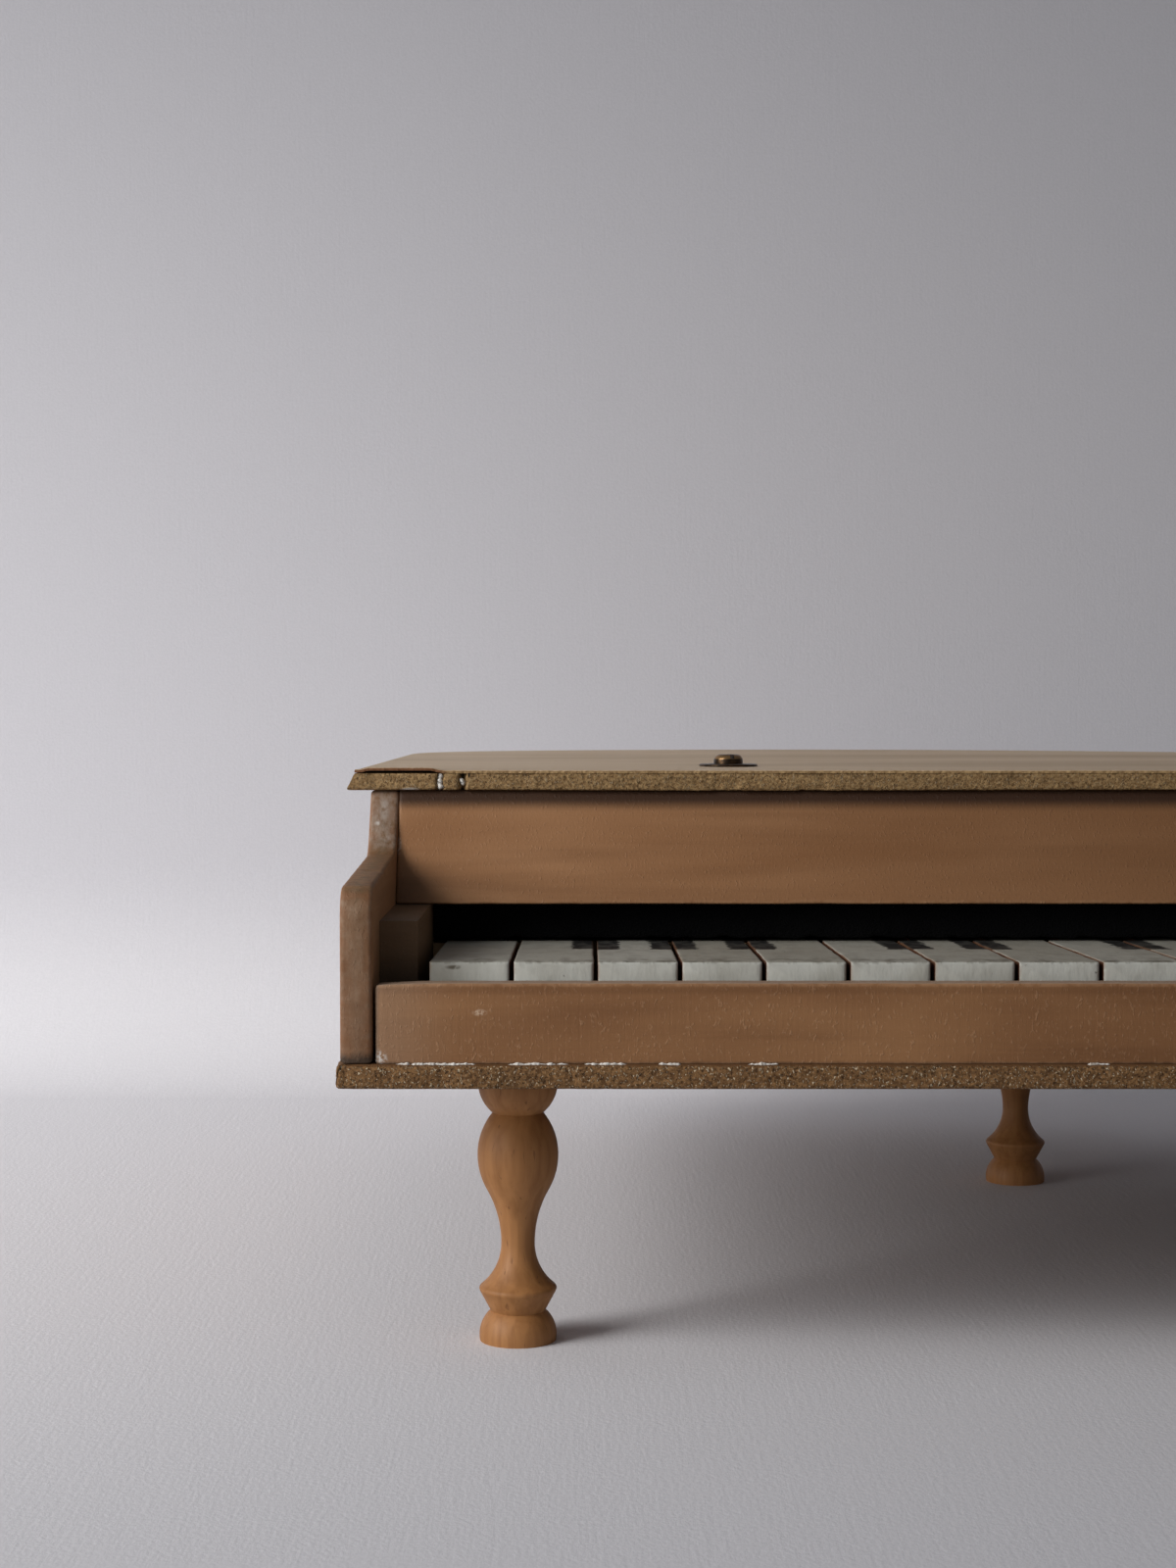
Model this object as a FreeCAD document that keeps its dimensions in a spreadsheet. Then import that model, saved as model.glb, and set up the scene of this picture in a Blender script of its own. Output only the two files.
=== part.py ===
import FreeCAD, Part
import math
import os
import Sketcher

# Toy baby grand piano on three turned legs, with levers that strike steel tone bars.
# Lengths are millimetres and angles degrees. X runs along the keyboard with the bass at -X,
# Y runs from the keys to the tail, Z is up from the floor. The origin lies on the floor,
# under the middle of the whole piano.

# Semitones of each white key above the lowest one.
SEMITONES = (0, 1, 3, 5, 7, 8, 10, 12, 13, 15, 17, 19, 20, 22, 24, 25, 27, 29)
KEYS = len(SEMITONES)

# The driving sizes. Distances "back" are measured from the front faces of the side boards.
SIZES = (
    ("leg_height", 66.0, "floor to the underside of the base board"),
    ("leg_tenon_radius", 4.0, "turned tenon glued through the base board"),
    ("tenon_clearance", 0.05, "glue gap round a tenon"),
    ("foot_radius", 9.2, "leg at the floor"),
    ("foot_swell_radius", 9.1, "leg half way up the foot"),
    ("foot_swell_height", 3.2, "where that radius is measured"),
    ("groove_radius", 6.6, "groove above the foot"),
    ("groove_height", 7.2, "groove above the floor"),
    ("ring_radius", 9.6, "rim of the ring above the groove, before it is rounded"),
    ("ring_height", 12.8, "that rim above the floor"),
    ("ring_round", 0.9, "rounded rim of the ring"),
    ("waist_radius", 4.05, "thinnest place of the leg"),
    ("waist_height", 23.5, "waist above the floor"),
    ("flare_height", 36.5, "where the waist turns into the bulb"),
    ("bulb_radius", 9.75, "thickest place of the leg"),
    ("bulb_height", 45.0, "bulb above the floor"),
    ("neck_radius", 6.1, "groove between bulb and bead"),
    ("neck_drop", 10.9, "that groove below the base board"),
    ("bead_radius", 9.6, "bead under the base board"),
    ("bead_drop", 4.3, "its widest place below the base board"),
    ("leg_top_radius", 9.0, "leg where it meets the base board"),
    ("front_leg_inset", 39.5, "front leg axis inside the case's side"),
    ("front_leg_back", 33.8, "front leg axis back"),
    ("rear_leg_back", 231.0, "rear leg axis back"),
    ("base_thickness", 5.6, "base board"),
    ("base_overhang", 1.6, "base board beyond the case all round"),
    ("base_round", 1.4, "rounded top edge of the base board"),
    ("side_thickness", 7.4, "side boards"),
    ("side_height", 59.5, "side boards and curved side"),
    ("spine_length", 284.0, "straight part of the left side"),
    ("cheek_length", 150.0, "straight part of the right side"),
    ("tail_corner_radius", 65.0, "outside of the case where the spine turns into the tail"),
    ("hollow_radius", 60.0, "outside of the hollow in the curved side"),
    ("shoulder_radius", 90.0, "outside of the curved side behind the cheek"),
    ("steep_angle", 60.0, "curved side to the keyboard where tail and hollow meet"),
    ("shallow_angle", 30.0, "curved side to the keyboard where hollow and shoulder meet"),
    ("rim_thickness", 5.0, "curved side"),
    ("arm_nose_height", 33.2, "straight part of an arm's front"),
    ("arm_nose_radius", 6.0, "rounded front of an arm"),
    ("arm_height", 42.2, "top of an arm where the cove begins"),
    ("cove_radius", 8.0, "cove between an arm and the raked edge over it"),
    ("arm_ease", 1.0, "eased edges of the arms"),
    ("slip_thickness", 6.0, "key slip"),
    ("slip_height", 17.9, "key slip"),
    ("slip_setback", 0.3, "key slip behind the fronts of the sides"),
    ("slip_gap", 0.7, "joint between the key slip and a side"),
    ("slip_ease", 0.8, "eased top edge of the key slip"),
    ("key_pitch", 19.4, "key to key"),
    ("key_gap", 1.2, "between two keys"),
    ("key_thickness", 11.0, "key"),
    ("key_rise", 3.0, "key tops above the key slip"),
    ("key_front_gap", 1.7, "key fronts behind the key slip"),
    ("key_ease", 0.6, "eased edges of the key tops"),
    ("head_overlap", 2.7, "wide part of a key behind the dust felt's face"),
    ("lever_width", 12.0, "narrow rear part of a key"),
    ("lever_overhang", 8.0, "key behind its hammer's axis"),
    ("pivot_back", 84.0, "pivot rod"),
    ("pivot_radius", 1.5, "pivot rod"),
    ("pivot_clearance", 0.05, "round the rod in a key"),
    ("rod_end_gap", 1.0, "rod end to the side board"),
    ("pivot_rail_depth", 10.0, "comb rail from front to back"),
    ("comb_floor_gap", 2.3, "comb slot below the keys"),
    ("comb_top_drop", 1.0, "comb teeth below the key tops"),
    ("comb_clearance", 0.4, "each side of a key in its slot"),
    ("key_travel", 3.5, "angle that a key turns through"),
    ("strike_back", 158.0, "hammer axes and the middles of the tone bars"),
    ("block_width", 9.0, "key block"),
    ("block_gap", 3.6, "end key to the key block"),
    ("block_back", 20.0, "front of the key block"),
    ("block_height", 30.9, "key block"),
    ("block_end_gap", 0.5, "key block in front of the comb rail"),
    ("fallboard_thickness", 7.3, "fallboard, measured level"),
    ("fallboard_foot_back", 67.5, "front of the fallboard at its foot"),
    ("fallboard_head_back", 82.0, "front of the fallboard at its head"),
    ("fallboard_head_gap", 0.2, "fallboard's front before the raked edges, at its head"),
    ("felt_thickness", 1.8, "dust felt"),
    ("felt_key_gap", 0.2, "dust felt above the keys"),
    ("felt_hold", 13.5, "dust felt on the back of the fallboard"),
    ("felt_end_gap", 0.3, "dust felt to a key block"),
    ("lid_core_thickness", 4.4, "fibreboard of the lid"),
    ("lid_face_thickness", 0.8, "face ply of the lid"),
    ("lid_overhang", 6.6, "lid beyond the case"),
    ("lid_face_setback", 1.0, "face ply inside the fibreboard's edge"),
    ("lid_front_lip", 2.0, "lid in front of the fallboard"),
    ("lid_bevel", 0.7, "bevelled upper edge of the fibreboard"),
    ("lid_rail_depth", 12.0, "cross rail under the lid"),
    ("lid_rail_height", 17.4, "cross rail under the lid"),
    ("screw_back", 120.0, "lid screws"),
    ("screw_inset", 95.0, "lid screws inside the case's side"),
    ("screw_radius", 2.0, "shank of a lid screw"),
    ("screw_clearance", 0.2, "round the shank in the lid and washer"),
    ("screw_bite", 12.0, "shank in the cross rail"),
    ("screw_head_radius", 4.1, "round head"),
    ("screw_head_height", 2.6, "round head"),
    ("washer_radius", 8.0, "flat washer"),
    ("washer_thickness", 0.7, "flat washer"),
    ("front_rail_back", 12.0, "front key rail"),
    ("front_rail_depth", 12.0, "front key rail"),
    ("back_rail_lead", 18.0, "back key rail's front face before the hammer axes"),
    ("back_rail_depth", 10.0, "back key rail"),
    ("key_rail_end_gap", 0.5, "end of a key rail to a bar post"),
    ("key_felt_thickness", 2.5, "felt on the key rails"),
    ("stop_gap", 0.3, "pressed key above its felt"),
    ("rest_gap", 0.2, "resting key above its felt"),
    ("hammer_stem_radius", 2.0, "hammer stem in the key"),
    ("hammer_stem_depth", 8.0, "hammer stem in the key"),
    ("hammer_collar_radius", 3.4, "hammer on the key"),
    ("hammer_neck_radius", 2.3, "thinnest place of a hammer"),
    ("hammer_neck_rise", 2.2, "that place above the key"),
    ("hammer_head_radius", 4.4, "hammer head"),
    ("hammer_head_rise", 5.4, "widest place of the head above the key"),
    ("hammer_rise", 8.2, "top of the hammer above the key"),
    ("strike_gap", 0.7, "hammer to bar with the key pressed"),
    ("bar_length", 130.0, "lowest tone bar"),
    ("bar_width", 14.0, "tone bar"),
    ("bar_thickness", 2.5, "tone bar"),
    ("bar_hole_radius", 1.4, "hole at a still point of a bar"),
    ("bar_rail_depth", 10.0, "rails under the bars"),
    ("bar_beam_height", 7.0, "front rail, which bridges the keys"),
    ("bar_felt_thickness", 1.5, "felt on the bar rails"),
    ("bar_post_gap", 1.6, "bar post to the end key"),
    ("bar_post_depth", 20.0, "bar post"),
    ("bar_board_end", 12.0, "rear bar rail ends before the right side board"),
    ("pin_radius", 0.9, "bar pin"),
    ("pin_depth", 6.0, "bar pin in its rail"),
    ("pin_head_radius", 2.2, "bar pin head"),
    ("pin_head_thickness", 0.8, "bar pin head"),
    ("pin_head_gap", 0.4, "head of a bar pin above the bar"),
)

# A free bar is still at these points, measured from its middle as a share of its length.
STILL_POINT = 0.276

# Levels, half widths and places that follow from the sizes.
LAYOUT = (
    ("flare_share", "=(Sizes.flare_height - Sizes.waist_height) / (Sizes.bulb_height - Sizes.waist_height)"),
    ("flare_radius", "=Sizes.waist_radius + (Sizes.bulb_radius - Sizes.waist_radius) * flare_share"),
    ("base_top", "=Sizes.leg_height + Sizes.base_thickness"),
    ("case_top", "=base_top + Sizes.side_height"),
    ("slip_top", "=base_top + Sizes.slip_height"),
    ("key_top", "=slip_top + Sizes.key_rise"),
    ("key_bottom", "=key_top - Sizes.key_thickness"),
    ("pivot_level", "=key_top - Sizes.key_thickness / 2"),
    ("block_top", "=base_top + Sizes.block_height"),
    ("core_top", "=case_top + Sizes.lid_core_thickness"),
    ("lid_top", "=core_top + Sizes.lid_face_thickness"),
    ("key_span", f"={KEYS} * Sizes.key_pitch - Sizes.key_gap"),
    ("first_key", f"=-{KEYS - 1} * Sizes.key_pitch / 2"),
    ("block_inside", "=key_span / 2 + Sizes.block_gap"),
    ("inside", "=block_inside + Sizes.block_width"),
    ("outside", "=inside + Sizes.side_thickness"),
    ("key_front", "=Sizes.slip_setback + Sizes.slip_thickness + Sizes.key_front_gap"),
    ("rake_end", "=Sizes.fallboard_head_back + Sizes.fallboard_head_gap"),
    ("fallboard_height", "=case_top - block_top"),
    ("fallboard_lean", "=(Sizes.fallboard_head_back - Sizes.fallboard_foot_back) / fallboard_height"),
    ("rake_slant", "=sqrt(1 + fallboard_lean ^ 2)"),
    ("rake_level", "=Sizes.arm_height + Sizes.cove_radius * (1 - fallboard_lean / rake_slant)"),
    ("rake_foot", "=rake_end - (Sizes.side_height - rake_level) * fallboard_lean"),
    ("felt_front", "=Sizes.fallboard_foot_back + Sizes.fallboard_thickness"),
    ("felt_head", "=felt_front + Sizes.felt_hold * fallboard_lean"),
    ("head_end", "=felt_front + Sizes.head_overlap"),
    ("lever_end", "=Sizes.strike_back + Sizes.lever_overhang"),
    ("lid_front", "=Sizes.fallboard_head_back - Sizes.lid_front_lip"),
    ("face_overhang", "=Sizes.lid_overhang - Sizes.lid_face_setback"),
    ("base_front", "=-Sizes.base_overhang"),
    ("pivot_rail_front", "=Sizes.pivot_back - Sizes.pivot_rail_depth / 2"),
    ("comb_floor", "=key_bottom - Sizes.comb_floor_gap"),
    ("comb_top", "=key_top - Sizes.comb_top_drop"),
    ("slot_width", "=Sizes.lever_width + 2 * Sizes.comb_clearance"),
    ("stop_arm", "=Sizes.pivot_back - Sizes.front_rail_back"),
    ("half_key", "=Sizes.key_thickness / 2"),
    ("pressed_front", "=pivot_level - stop_arm * sin(Sizes.key_travel) - half_key * cos(Sizes.key_travel)"),
    ("front_felt_top", "=pressed_front - Sizes.stop_gap"),
    ("back_felt_top", "=key_bottom - Sizes.rest_gap"),
    ("back_rail_back", "=Sizes.strike_back - Sizes.back_rail_lead"),
    ("strike_arm", "=Sizes.strike_back - Sizes.pivot_back + Sizes.hammer_head_radius"),
    ("bar_bottom", "=key_top + Sizes.hammer_rise + strike_arm * sin(Sizes.key_travel) + Sizes.strike_gap"),
    ("bar_top", "=bar_bottom + Sizes.bar_thickness"),
    ("bar_rail_top", "=bar_bottom - Sizes.bar_felt_thickness"),
    ("beam_bottom", "=bar_rail_top - Sizes.bar_beam_height"),
    ("bass_reach", f"={STILL_POINT} * Sizes.bar_length"),
    ("treble_reach", f"={STILL_POINT} * Sizes.bar_length * 2 ^ (-{SEMITONES[-1]} / 24)"),
    ("reach_slope", f"=(treble_reach - bass_reach) / ({KEYS - 1} * Sizes.key_pitch)"),
    ("post_inside", "=key_span / 2 + Sizes.key_gap / 2 - Sizes.key_pitch / 2"
                    " + Sizes.lever_width / 2 + Sizes.bar_post_gap"),
    ("rail_half", "=post_inside - Sizes.key_rail_end_gap"),
    ("board_end", "=inside - Sizes.bar_board_end"),
    ("screw_place", "=outside - Sizes.screw_inset"),
    ("corner_x", "=Sizes.tail_corner_radius - outside"),
    ("shoulder_x", "=outside - Sizes.shoulder_radius"),
    ("hollow_reach", "=Sizes.shoulder_radius + Sizes.hollow_radius"),
    ("hollow_x", "=shoulder_x + hollow_reach * sin(Sizes.shallow_angle)"),
    ("hollow_y", "=Sizes.cheek_length + hollow_reach * cos(Sizes.shallow_angle)"),
    ("tail_end_x", "=hollow_x - Sizes.hollow_radius * sin(Sizes.steep_angle)"),
    ("tail_end_y", "=hollow_y - Sizes.hollow_radius * cos(Sizes.steep_angle)"),
    ("chord_x", "=tail_end_x - corner_x"),
    ("chord_y", "=tail_end_y - Sizes.spine_length"),
    ("chord_in", "=chord_x * sin(Sizes.steep_angle) + chord_y * cos(Sizes.steep_angle)"),
    ("chord_square", "=chord_x ^ 2 + chord_y ^ 2"),
    ("tail_radius", "=(chord_square - Sizes.tail_corner_radius ^ 2)"
                    " / (2 * (chord_in - Sizes.tail_corner_radius))"),
    ("tail_x", "=tail_end_x - tail_radius * sin(Sizes.steep_angle)"),
    ("tail_y", "=tail_end_y - tail_radius * cos(Sizes.steep_angle)"),
    ("case_depth", "=tail_y + tail_radius"),
    ("front", "=(Sizes.base_overhang - case_depth - Sizes.lid_overhang) / 2"),
)

doc = FreeCAD.newDocument("toy_piano")


def make_sheet(name, rows):
    """Fill a sheet with one alias in each row."""
    sheet = doc.addObject("Spreadsheet::Sheet", name)
    for number, row in enumerate(rows, 1):
        sheet.set(f"A{number}", row[0])
        sheet.set(f"B{number}", str(row[1]))
        sheet.setAlias(f"B{number}", row[0])
        if len(row) > 2:
            sheet.set(f"C{number}", row[2])
    return sheet


size_sheet = make_sheet("Sizes", SIZES)
layout_sheet = make_sheet("Layout", LAYOUT)
doc.recompute()


def size(name):
    """Value of a driving size."""
    return float(size_sheet.get(name))


def place(name):
    """Value of a place that follows from the sizes."""
    return float(layout_sheet.get(name))


def value(cell):
    """Value of a cell that is named with its sheet."""
    sheet, alias = cell.split(".")
    return float(doc.getObject(sheet).get(alias))


def bind(target, **formulas):
    """Tie properties of an object to the sheets; x, y and z stand for its place."""
    for name, formula in formulas.items():
        path = f"Placement.Base.{name}" if name in ("x", "y", "z") else name
        target.setExpression(path, formula)


def new_body(label, **where):
    """Empty body; where gives the formulas of its place."""
    body = doc.addObject("PartDesign::Body", label)
    body.Label = label
    bind(body, **where)
    return body


def new_sketch(body, role, name, level=None):
    """Sketch on one of the body's own origin planes, raised by the formula level."""
    sketch = body.newObject("Sketcher::SketchObject", name)
    plane = next(item for item in body.Origin.OriginFeatures if item.Role == role)
    sketch.AttachmentSupport = (plane, [""])
    sketch.MapMode = "FlatFace"
    if level:
        sketch.setExpression("AttachmentOffset.Base.z", level)
    return sketch


def as_drawn(sketch, kind, where):
    """Value that a dimension has before it is tied to a formula."""
    if kind == "Radius":
        return sketch.Geometry[where[0]].Radius
    if kind == "Angle":
        arc = sketch.Geometry[where[0]]
        return arc.LastParameter - arc.FirstParameter
    point = sketch.getPoint(where[2], where[3])
    return point.x if kind == "DistanceX" else point.y


def hold(sketch, name, formula, kind, *where):
    """Add a dimension whose value follows the formula."""
    index = sketch.addConstraint(Sketcher.Constraint(kind, *where, as_drawn(sketch, kind, where)))
    sketch.renameConstraint(index, name)
    sketch.setExpression(f"Constraints.{name}", formula)


def hold_point(sketch, name, line, end, across, up):
    """Tie an end of a line to two formulas, measured from the sketch's origin."""
    hold(sketch, f"{name}_across", across, "DistanceX", -1, 1, line, end)
    hold(sketch, f"{name}_up", up, "DistanceY", -1, 1, line, end)


def draw_polygon(sketch, corners):
    """Closed polygon whose corners are pairs of formulas."""
    count = len(corners)
    turn = 2 * math.pi / count
    start = [FreeCAD.Vector(math.cos(turn * k), math.sin(turn * k), 0) for k in range(count)]
    lines = []
    for k in range(count):
        lines.append(sketch.addGeometry(Part.LineSegment(start[k], start[(k + 1) % count]), False))
    for k in range(count):
        sketch.addConstraint(Sketcher.Constraint("Coincident", lines[k], 2, lines[(k + 1) % count], 1))
    for k, (across, up) in enumerate(corners):
        hold_point(sketch, f"corner_{k}", lines[k], 1, across, up)


def draw_rectangle(sketch, left, low, right, high):
    """Rectangle between four formulas."""
    draw_polygon(sketch, ((left, low), (right, low), (right, high), (left, high)))


def draw_circle(sketch, name, across, up, radius):
    """Circle tied to three formulas."""
    unit = Part.Circle(FreeCAD.Vector(0, 0, 0), FreeCAD.Vector(0, 0, 1), 1)
    circle = sketch.addGeometry(unit, False)
    hold(sketch, f"{name}_radius", radius, "Radius", circle)
    hold_point(sketch, name, circle, 3, across, up)


def draw_path(sketch, pieces):
    """Add a closed path of (curve, smooth) pieces; return each one's number and its two ends.

    A smooth piece leaves along the tangent of the one that follows it.
    """
    numbers = [sketch.addGeometry(curve, False) for curve, _ in pieces]
    drawn = []
    for k, number in enumerate(numbers):
        following = numbers[(k + 1) % len(numbers)]
        meeting = [sketch.getPoint(following, end) for end in (1, 2)]
        gaps = [min((sketch.getPoint(number, end) - point).Length for point in meeting) for end in (1, 2)]
        drawn.append((number, 1, 2) if gaps[1] < gaps[0] else (number, 2, 1))
    for k, (_, smooth) in enumerate(pieces):
        number, _, last = drawn[k]
        following, first, _ = drawn[(k + 1) % len(pieces)]
        kind = "Tangent" if smooth else "Coincident"
        sketch.addConstraint(Sketcher.Constraint(kind, number, last, following, first))
    return drawn


def add_turning(body, sketch):
    """Turn the sketch round its upright axis."""
    turning = body.newObject("PartDesign::Revolution", f"{body.Label}_turning")
    turning.Profile = sketch
    turning.ReferenceAxis = (sketch, ["V_Axis"])
    turning.Angle = 360
    body.Tip = turning
    doc.recompute()
    return turning


def add_pad(body, sketch, name, length):
    """Raise the sketch by the formula length."""
    pad = body.newObject("PartDesign::Pad", name)
    pad.Profile = sketch
    pad.setExpression("Length", length)
    body.Tip = pad
    doc.recompute()
    return pad


def add_pocket(body, sketch, name, depth=None):
    """Cut the sketch out, through everything or to the formula depth, and check that it cuts."""
    before = body.Shape.Volume
    pocket = body.newObject("PartDesign::Pocket", name)
    pocket.Profile = sketch
    if depth:
        pocket.setExpression("Length", depth)
    else:
        pocket.Type = "ThroughAll"
        pocket.SideType = "Symmetric"
    body.Tip = pocket
    doc.recompute()
    if body.Shape.Volume >= before:
        raise RuntimeError(f"{name} cuts nothing")
    return pocket


def edges_where(shape, test):
    """Names of the edges whose middle point passes the test."""
    names = []
    for number, edge in enumerate(shape.Edges, 1):
        middle = edge.valueAt((edge.FirstParameter + edge.LastParameter) / 2)
        if test(edge, middle):
            names.append(f"Edge{number}")
    return names


def soften(body, base, name, kind, value, test):
    """Fillet or chamfer the edges of the base feature that pass the test."""
    feature = body.newObject(f"PartDesign::{kind}", name)
    feature.Base = (base, edges_where(base.Shape, test))
    feature.setExpression("Radius" if kind == "Fillet" else "Size", value)
    body.Tip = feature
    doc.recompute()
    return feature


def make_box(label, sizes, corner):
    """Box whose three sizes and lowest corner are formulas."""
    box = doc.addObject("Part::Box", label)
    box.Label = label
    bind(box, **dict(zip(("Length", "Width", "Height"), sizes)))
    bind(box, **dict(zip(("x", "y", "z"), corner)))
    return box


def make_cylinder(label, radius, height, foot):
    """Upright cylinder on the foot, all in formulas."""
    cylinder = doc.addObject("Part::Cylinder", label)
    cylinder.Label = label
    bind(cylinder, Radius=radius, Height=height)
    bind(cylinder, **dict(zip(("x", "y", "z"), foot)))
    return cylinder


def make_group(label, members):
    """Separate solids under one name."""
    group = doc.addObject("Part::Compound", label)
    group.Label = label
    group.Links = members
    return group


def make_cut(label, base, tool):
    """Base with the tool taken out."""
    cut = doc.addObject("Part::Cut", label)
    cut.Label = label
    cut.Base = base
    cut.Tool = tool
    return cut


def back(formula):
    """Y place of something measured back from the front of the case."""
    return f"Layout.front + {formula}"


def plan_arc(centre, radius, first_heading, last_heading):
    """Arc of the plan between two headings, in either turning sense."""
    angles = sorted((math.radians(90 + first_heading), math.radians(90 + last_heading)))
    circle = Part.Circle(FreeCAD.Vector(centre[0], centre[1], 0), FreeCAD.Vector(0, 0, 1), radius)
    return Part.ArcOfCircle(circle, *angles)


def plan_arcs(offset):
    """The four arcs behind the case, from the spine to the cheek, moved out by offset."""
    corner = (place("corner_x"), size("spine_length"))
    tail = (place("tail_x"), place("tail_y"))
    hollow = (place("hollow_x"), place("hollow_y"))
    shoulder = (place("shoulder_x"), size("cheek_length"))
    run = math.degrees(math.atan2(corner[1] - tail[1], corner[0] - tail[0])) - 90
    steep = -size("steep_angle")
    shallow = -size("shallow_angle")
    return (
        plan_arc(corner, size("tail_corner_radius") + offset, 90, run),
        plan_arc(tail, place("tail_radius") + offset, run, steep),
        plan_arc(hollow, size("hollow_radius") - offset, steep + 180, shallow + 180),
        plan_arc(shoulder, size("shoulder_radius") + offset, shallow, -90),
    )


# Angles that two of the arcs turn through.
HOLLOW_BEND = "(Sizes.steep_angle - Sizes.shallow_angle) * 1 deg"
SHOULDER_BEND = "(90 - Sizes.shallow_angle) * 1 deg"


def draw_plan(sketch, overhang, front):
    """Whole plan outline with a straight front; overhang beyond the case and front are cells."""
    offset = value(overhang)
    half = place("outside") + offset
    left_front = FreeCAD.Vector(-half, value(front), 0)
    left_back = FreeCAD.Vector(-half, size("spine_length"), 0)
    right_back = FreeCAD.Vector(half, size("cheek_length"), 0)
    right_front = FreeCAD.Vector(half, value(front), 0)
    pieces = [(Part.LineSegment(left_front, left_back), True)]
    pieces.extend((arc, True) for arc in plan_arcs(offset))
    pieces.append((Part.LineSegment(right_back, right_front), False))
    pieces.append((Part.LineSegment(right_front, left_front), False))
    drawn = draw_path(sketch, pieces)
    spine, corner, _, hollow, shoulder, cheek, front_line = (number for number, _, _ in drawn)
    sketch.addConstraint(Sketcher.Constraint("Vertical", spine))
    sketch.addConstraint(Sketcher.Constraint("Vertical", cheek))
    sketch.addConstraint(Sketcher.Constraint("Horizontal", front_line))
    hold_point(sketch, "left_front", spine, 1, f"-(Layout.outside + {overhang})", front)
    hold(sketch, "right_front", f"Layout.outside + {overhang}", "DistanceX", -1, 1, front_line, 1)
    hold(sketch, "spine_end", "Sizes.spine_length", "DistanceY", -1, 1, spine, 2)
    hold(sketch, "cheek_end", "Sizes.cheek_length", "DistanceY", -1, 1, cheek, 1)
    hold(sketch, "tail_corner_round", f"Sizes.tail_corner_radius + {overhang}", "Radius", corner)
    hold(sketch, "hollow_round", f"Sizes.hollow_radius - {overhang}", "Radius", hollow)
    hold(sketch, "shoulder_round", f"Sizes.shoulder_radius + {overhang}", "Radius", shoulder)
    hold(sketch, "hollow_bend", HOLLOW_BEND, "Angle", hollow)
    hold(sketch, "shoulder_bend", SHOULDER_BEND, "Angle", shoulder)


def make_leg(label, across, distance_back):
    """Turned leg with a tenon, standing at the two formulas."""
    body = new_body(label, x=across, y=back(distance_back))
    sketch = new_sketch(body, "XZ_Plane", f"{label}_profile")
    top = size("leg_height")
    tenon_top = place("base_top")

    def spot(radius, height):
        return FreeCAD.Vector(radius, height, 0)

    foot = spot(size("foot_radius"), 0)
    swell = spot(size("foot_swell_radius"), size("foot_swell_height"))
    groove = spot(size("groove_radius"), size("groove_height"))
    rim = spot(size("ring_radius"), size("ring_height"))
    waist = spot(size("waist_radius"), size("waist_height"))
    flare = spot(place("flare_radius"), size("flare_height"))
    bulb = spot(size("bulb_radius"), size("bulb_height"))
    neck = spot(size("neck_radius"), top - size("neck_drop"))
    bead = spot(size("bead_radius"), top - size("bead_drop"))
    shoulder = spot(size("leg_top_radius"), top)
    tenon = spot(size("leg_tenon_radius"), top)
    tenon_end = spot(size("leg_tenon_radius"), tenon_top)

    def sweep(first, last, upright):
        """Arc from first to last that is upright at one of them."""
        other = last if upright is first else first
        rise = other.y - upright.y
        run = other.x - upright.x
        radius = (rise ** 2 + run ** 2) / (2 * run)
        half = math.asin(abs(rise / radius)) / 2
        drop = math.copysign(abs(radius) * math.sin(half), rise)
        middle = spot(upright.x + radius * (1 - math.cos(half)), upright.y + drop)
        return Part.Arc(first, middle, last)

    curves = (
        Part.LineSegment(spot(0, 0), foot),
        Part.Arc(foot, swell, groove),
        Part.LineSegment(groove, rim),
        sweep(rim, waist, waist),
        sweep(waist, flare, waist),
        sweep(flare, bulb, bulb),
        sweep(bulb, neck, bulb),
        Part.Arc(neck, bead, shoulder),
        Part.LineSegment(shoulder, tenon),
        Part.LineSegment(tenon, tenon_end),
        Part.LineSegment(tenon_end, spot(0, tenon_top)),
        Part.LineSegment(spot(0, tenon_top), spot(0, 0)),
    )
    drawn = draw_path(sketch, [(curve, False) for curve in curves])
    ties = (
        ("foot", 1, "Sizes.foot_radius", "0"),
        ("groove", 2, "Sizes.groove_radius", "Sizes.groove_height"),
        ("rim", 3, "Sizes.ring_radius", "Sizes.ring_height"),
        ("waist", 4, "Sizes.waist_radius", "Sizes.waist_height"),
        ("flare", 5, "Layout.flare_radius", "Sizes.flare_height"),
        ("bulb", 6, "Sizes.bulb_radius", "Sizes.bulb_height"),
        ("neck", 7, "Sizes.neck_radius", "Sizes.leg_height - Sizes.neck_drop"),
        ("shoulder", 8, "Sizes.leg_top_radius", "Sizes.leg_height"),
        ("tenon", 9, "Sizes.leg_tenon_radius", "Sizes.leg_height"),
        ("tenon_end", 10, "Sizes.leg_tenon_radius", "Layout.base_top"),
        ("axis_top", 11, "0", "Layout.base_top"),
        ("axis_foot", 0, "0", "0"),
    )
    for name, number, radius, height in ties:
        hold_point(sketch, name, drawn[number][0], drawn[number][1], radius, height)
    turning = add_turning(body, sketch)
    soften(body, turning, f"{label}_rim", "Fillet", "Sizes.ring_round",
           lambda edge, middle: abs(middle.z - rim.y) < 1e-6)
    return body


FRONT_LEG_ACROSS = "Layout.outside - Sizes.front_leg_inset"


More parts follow.
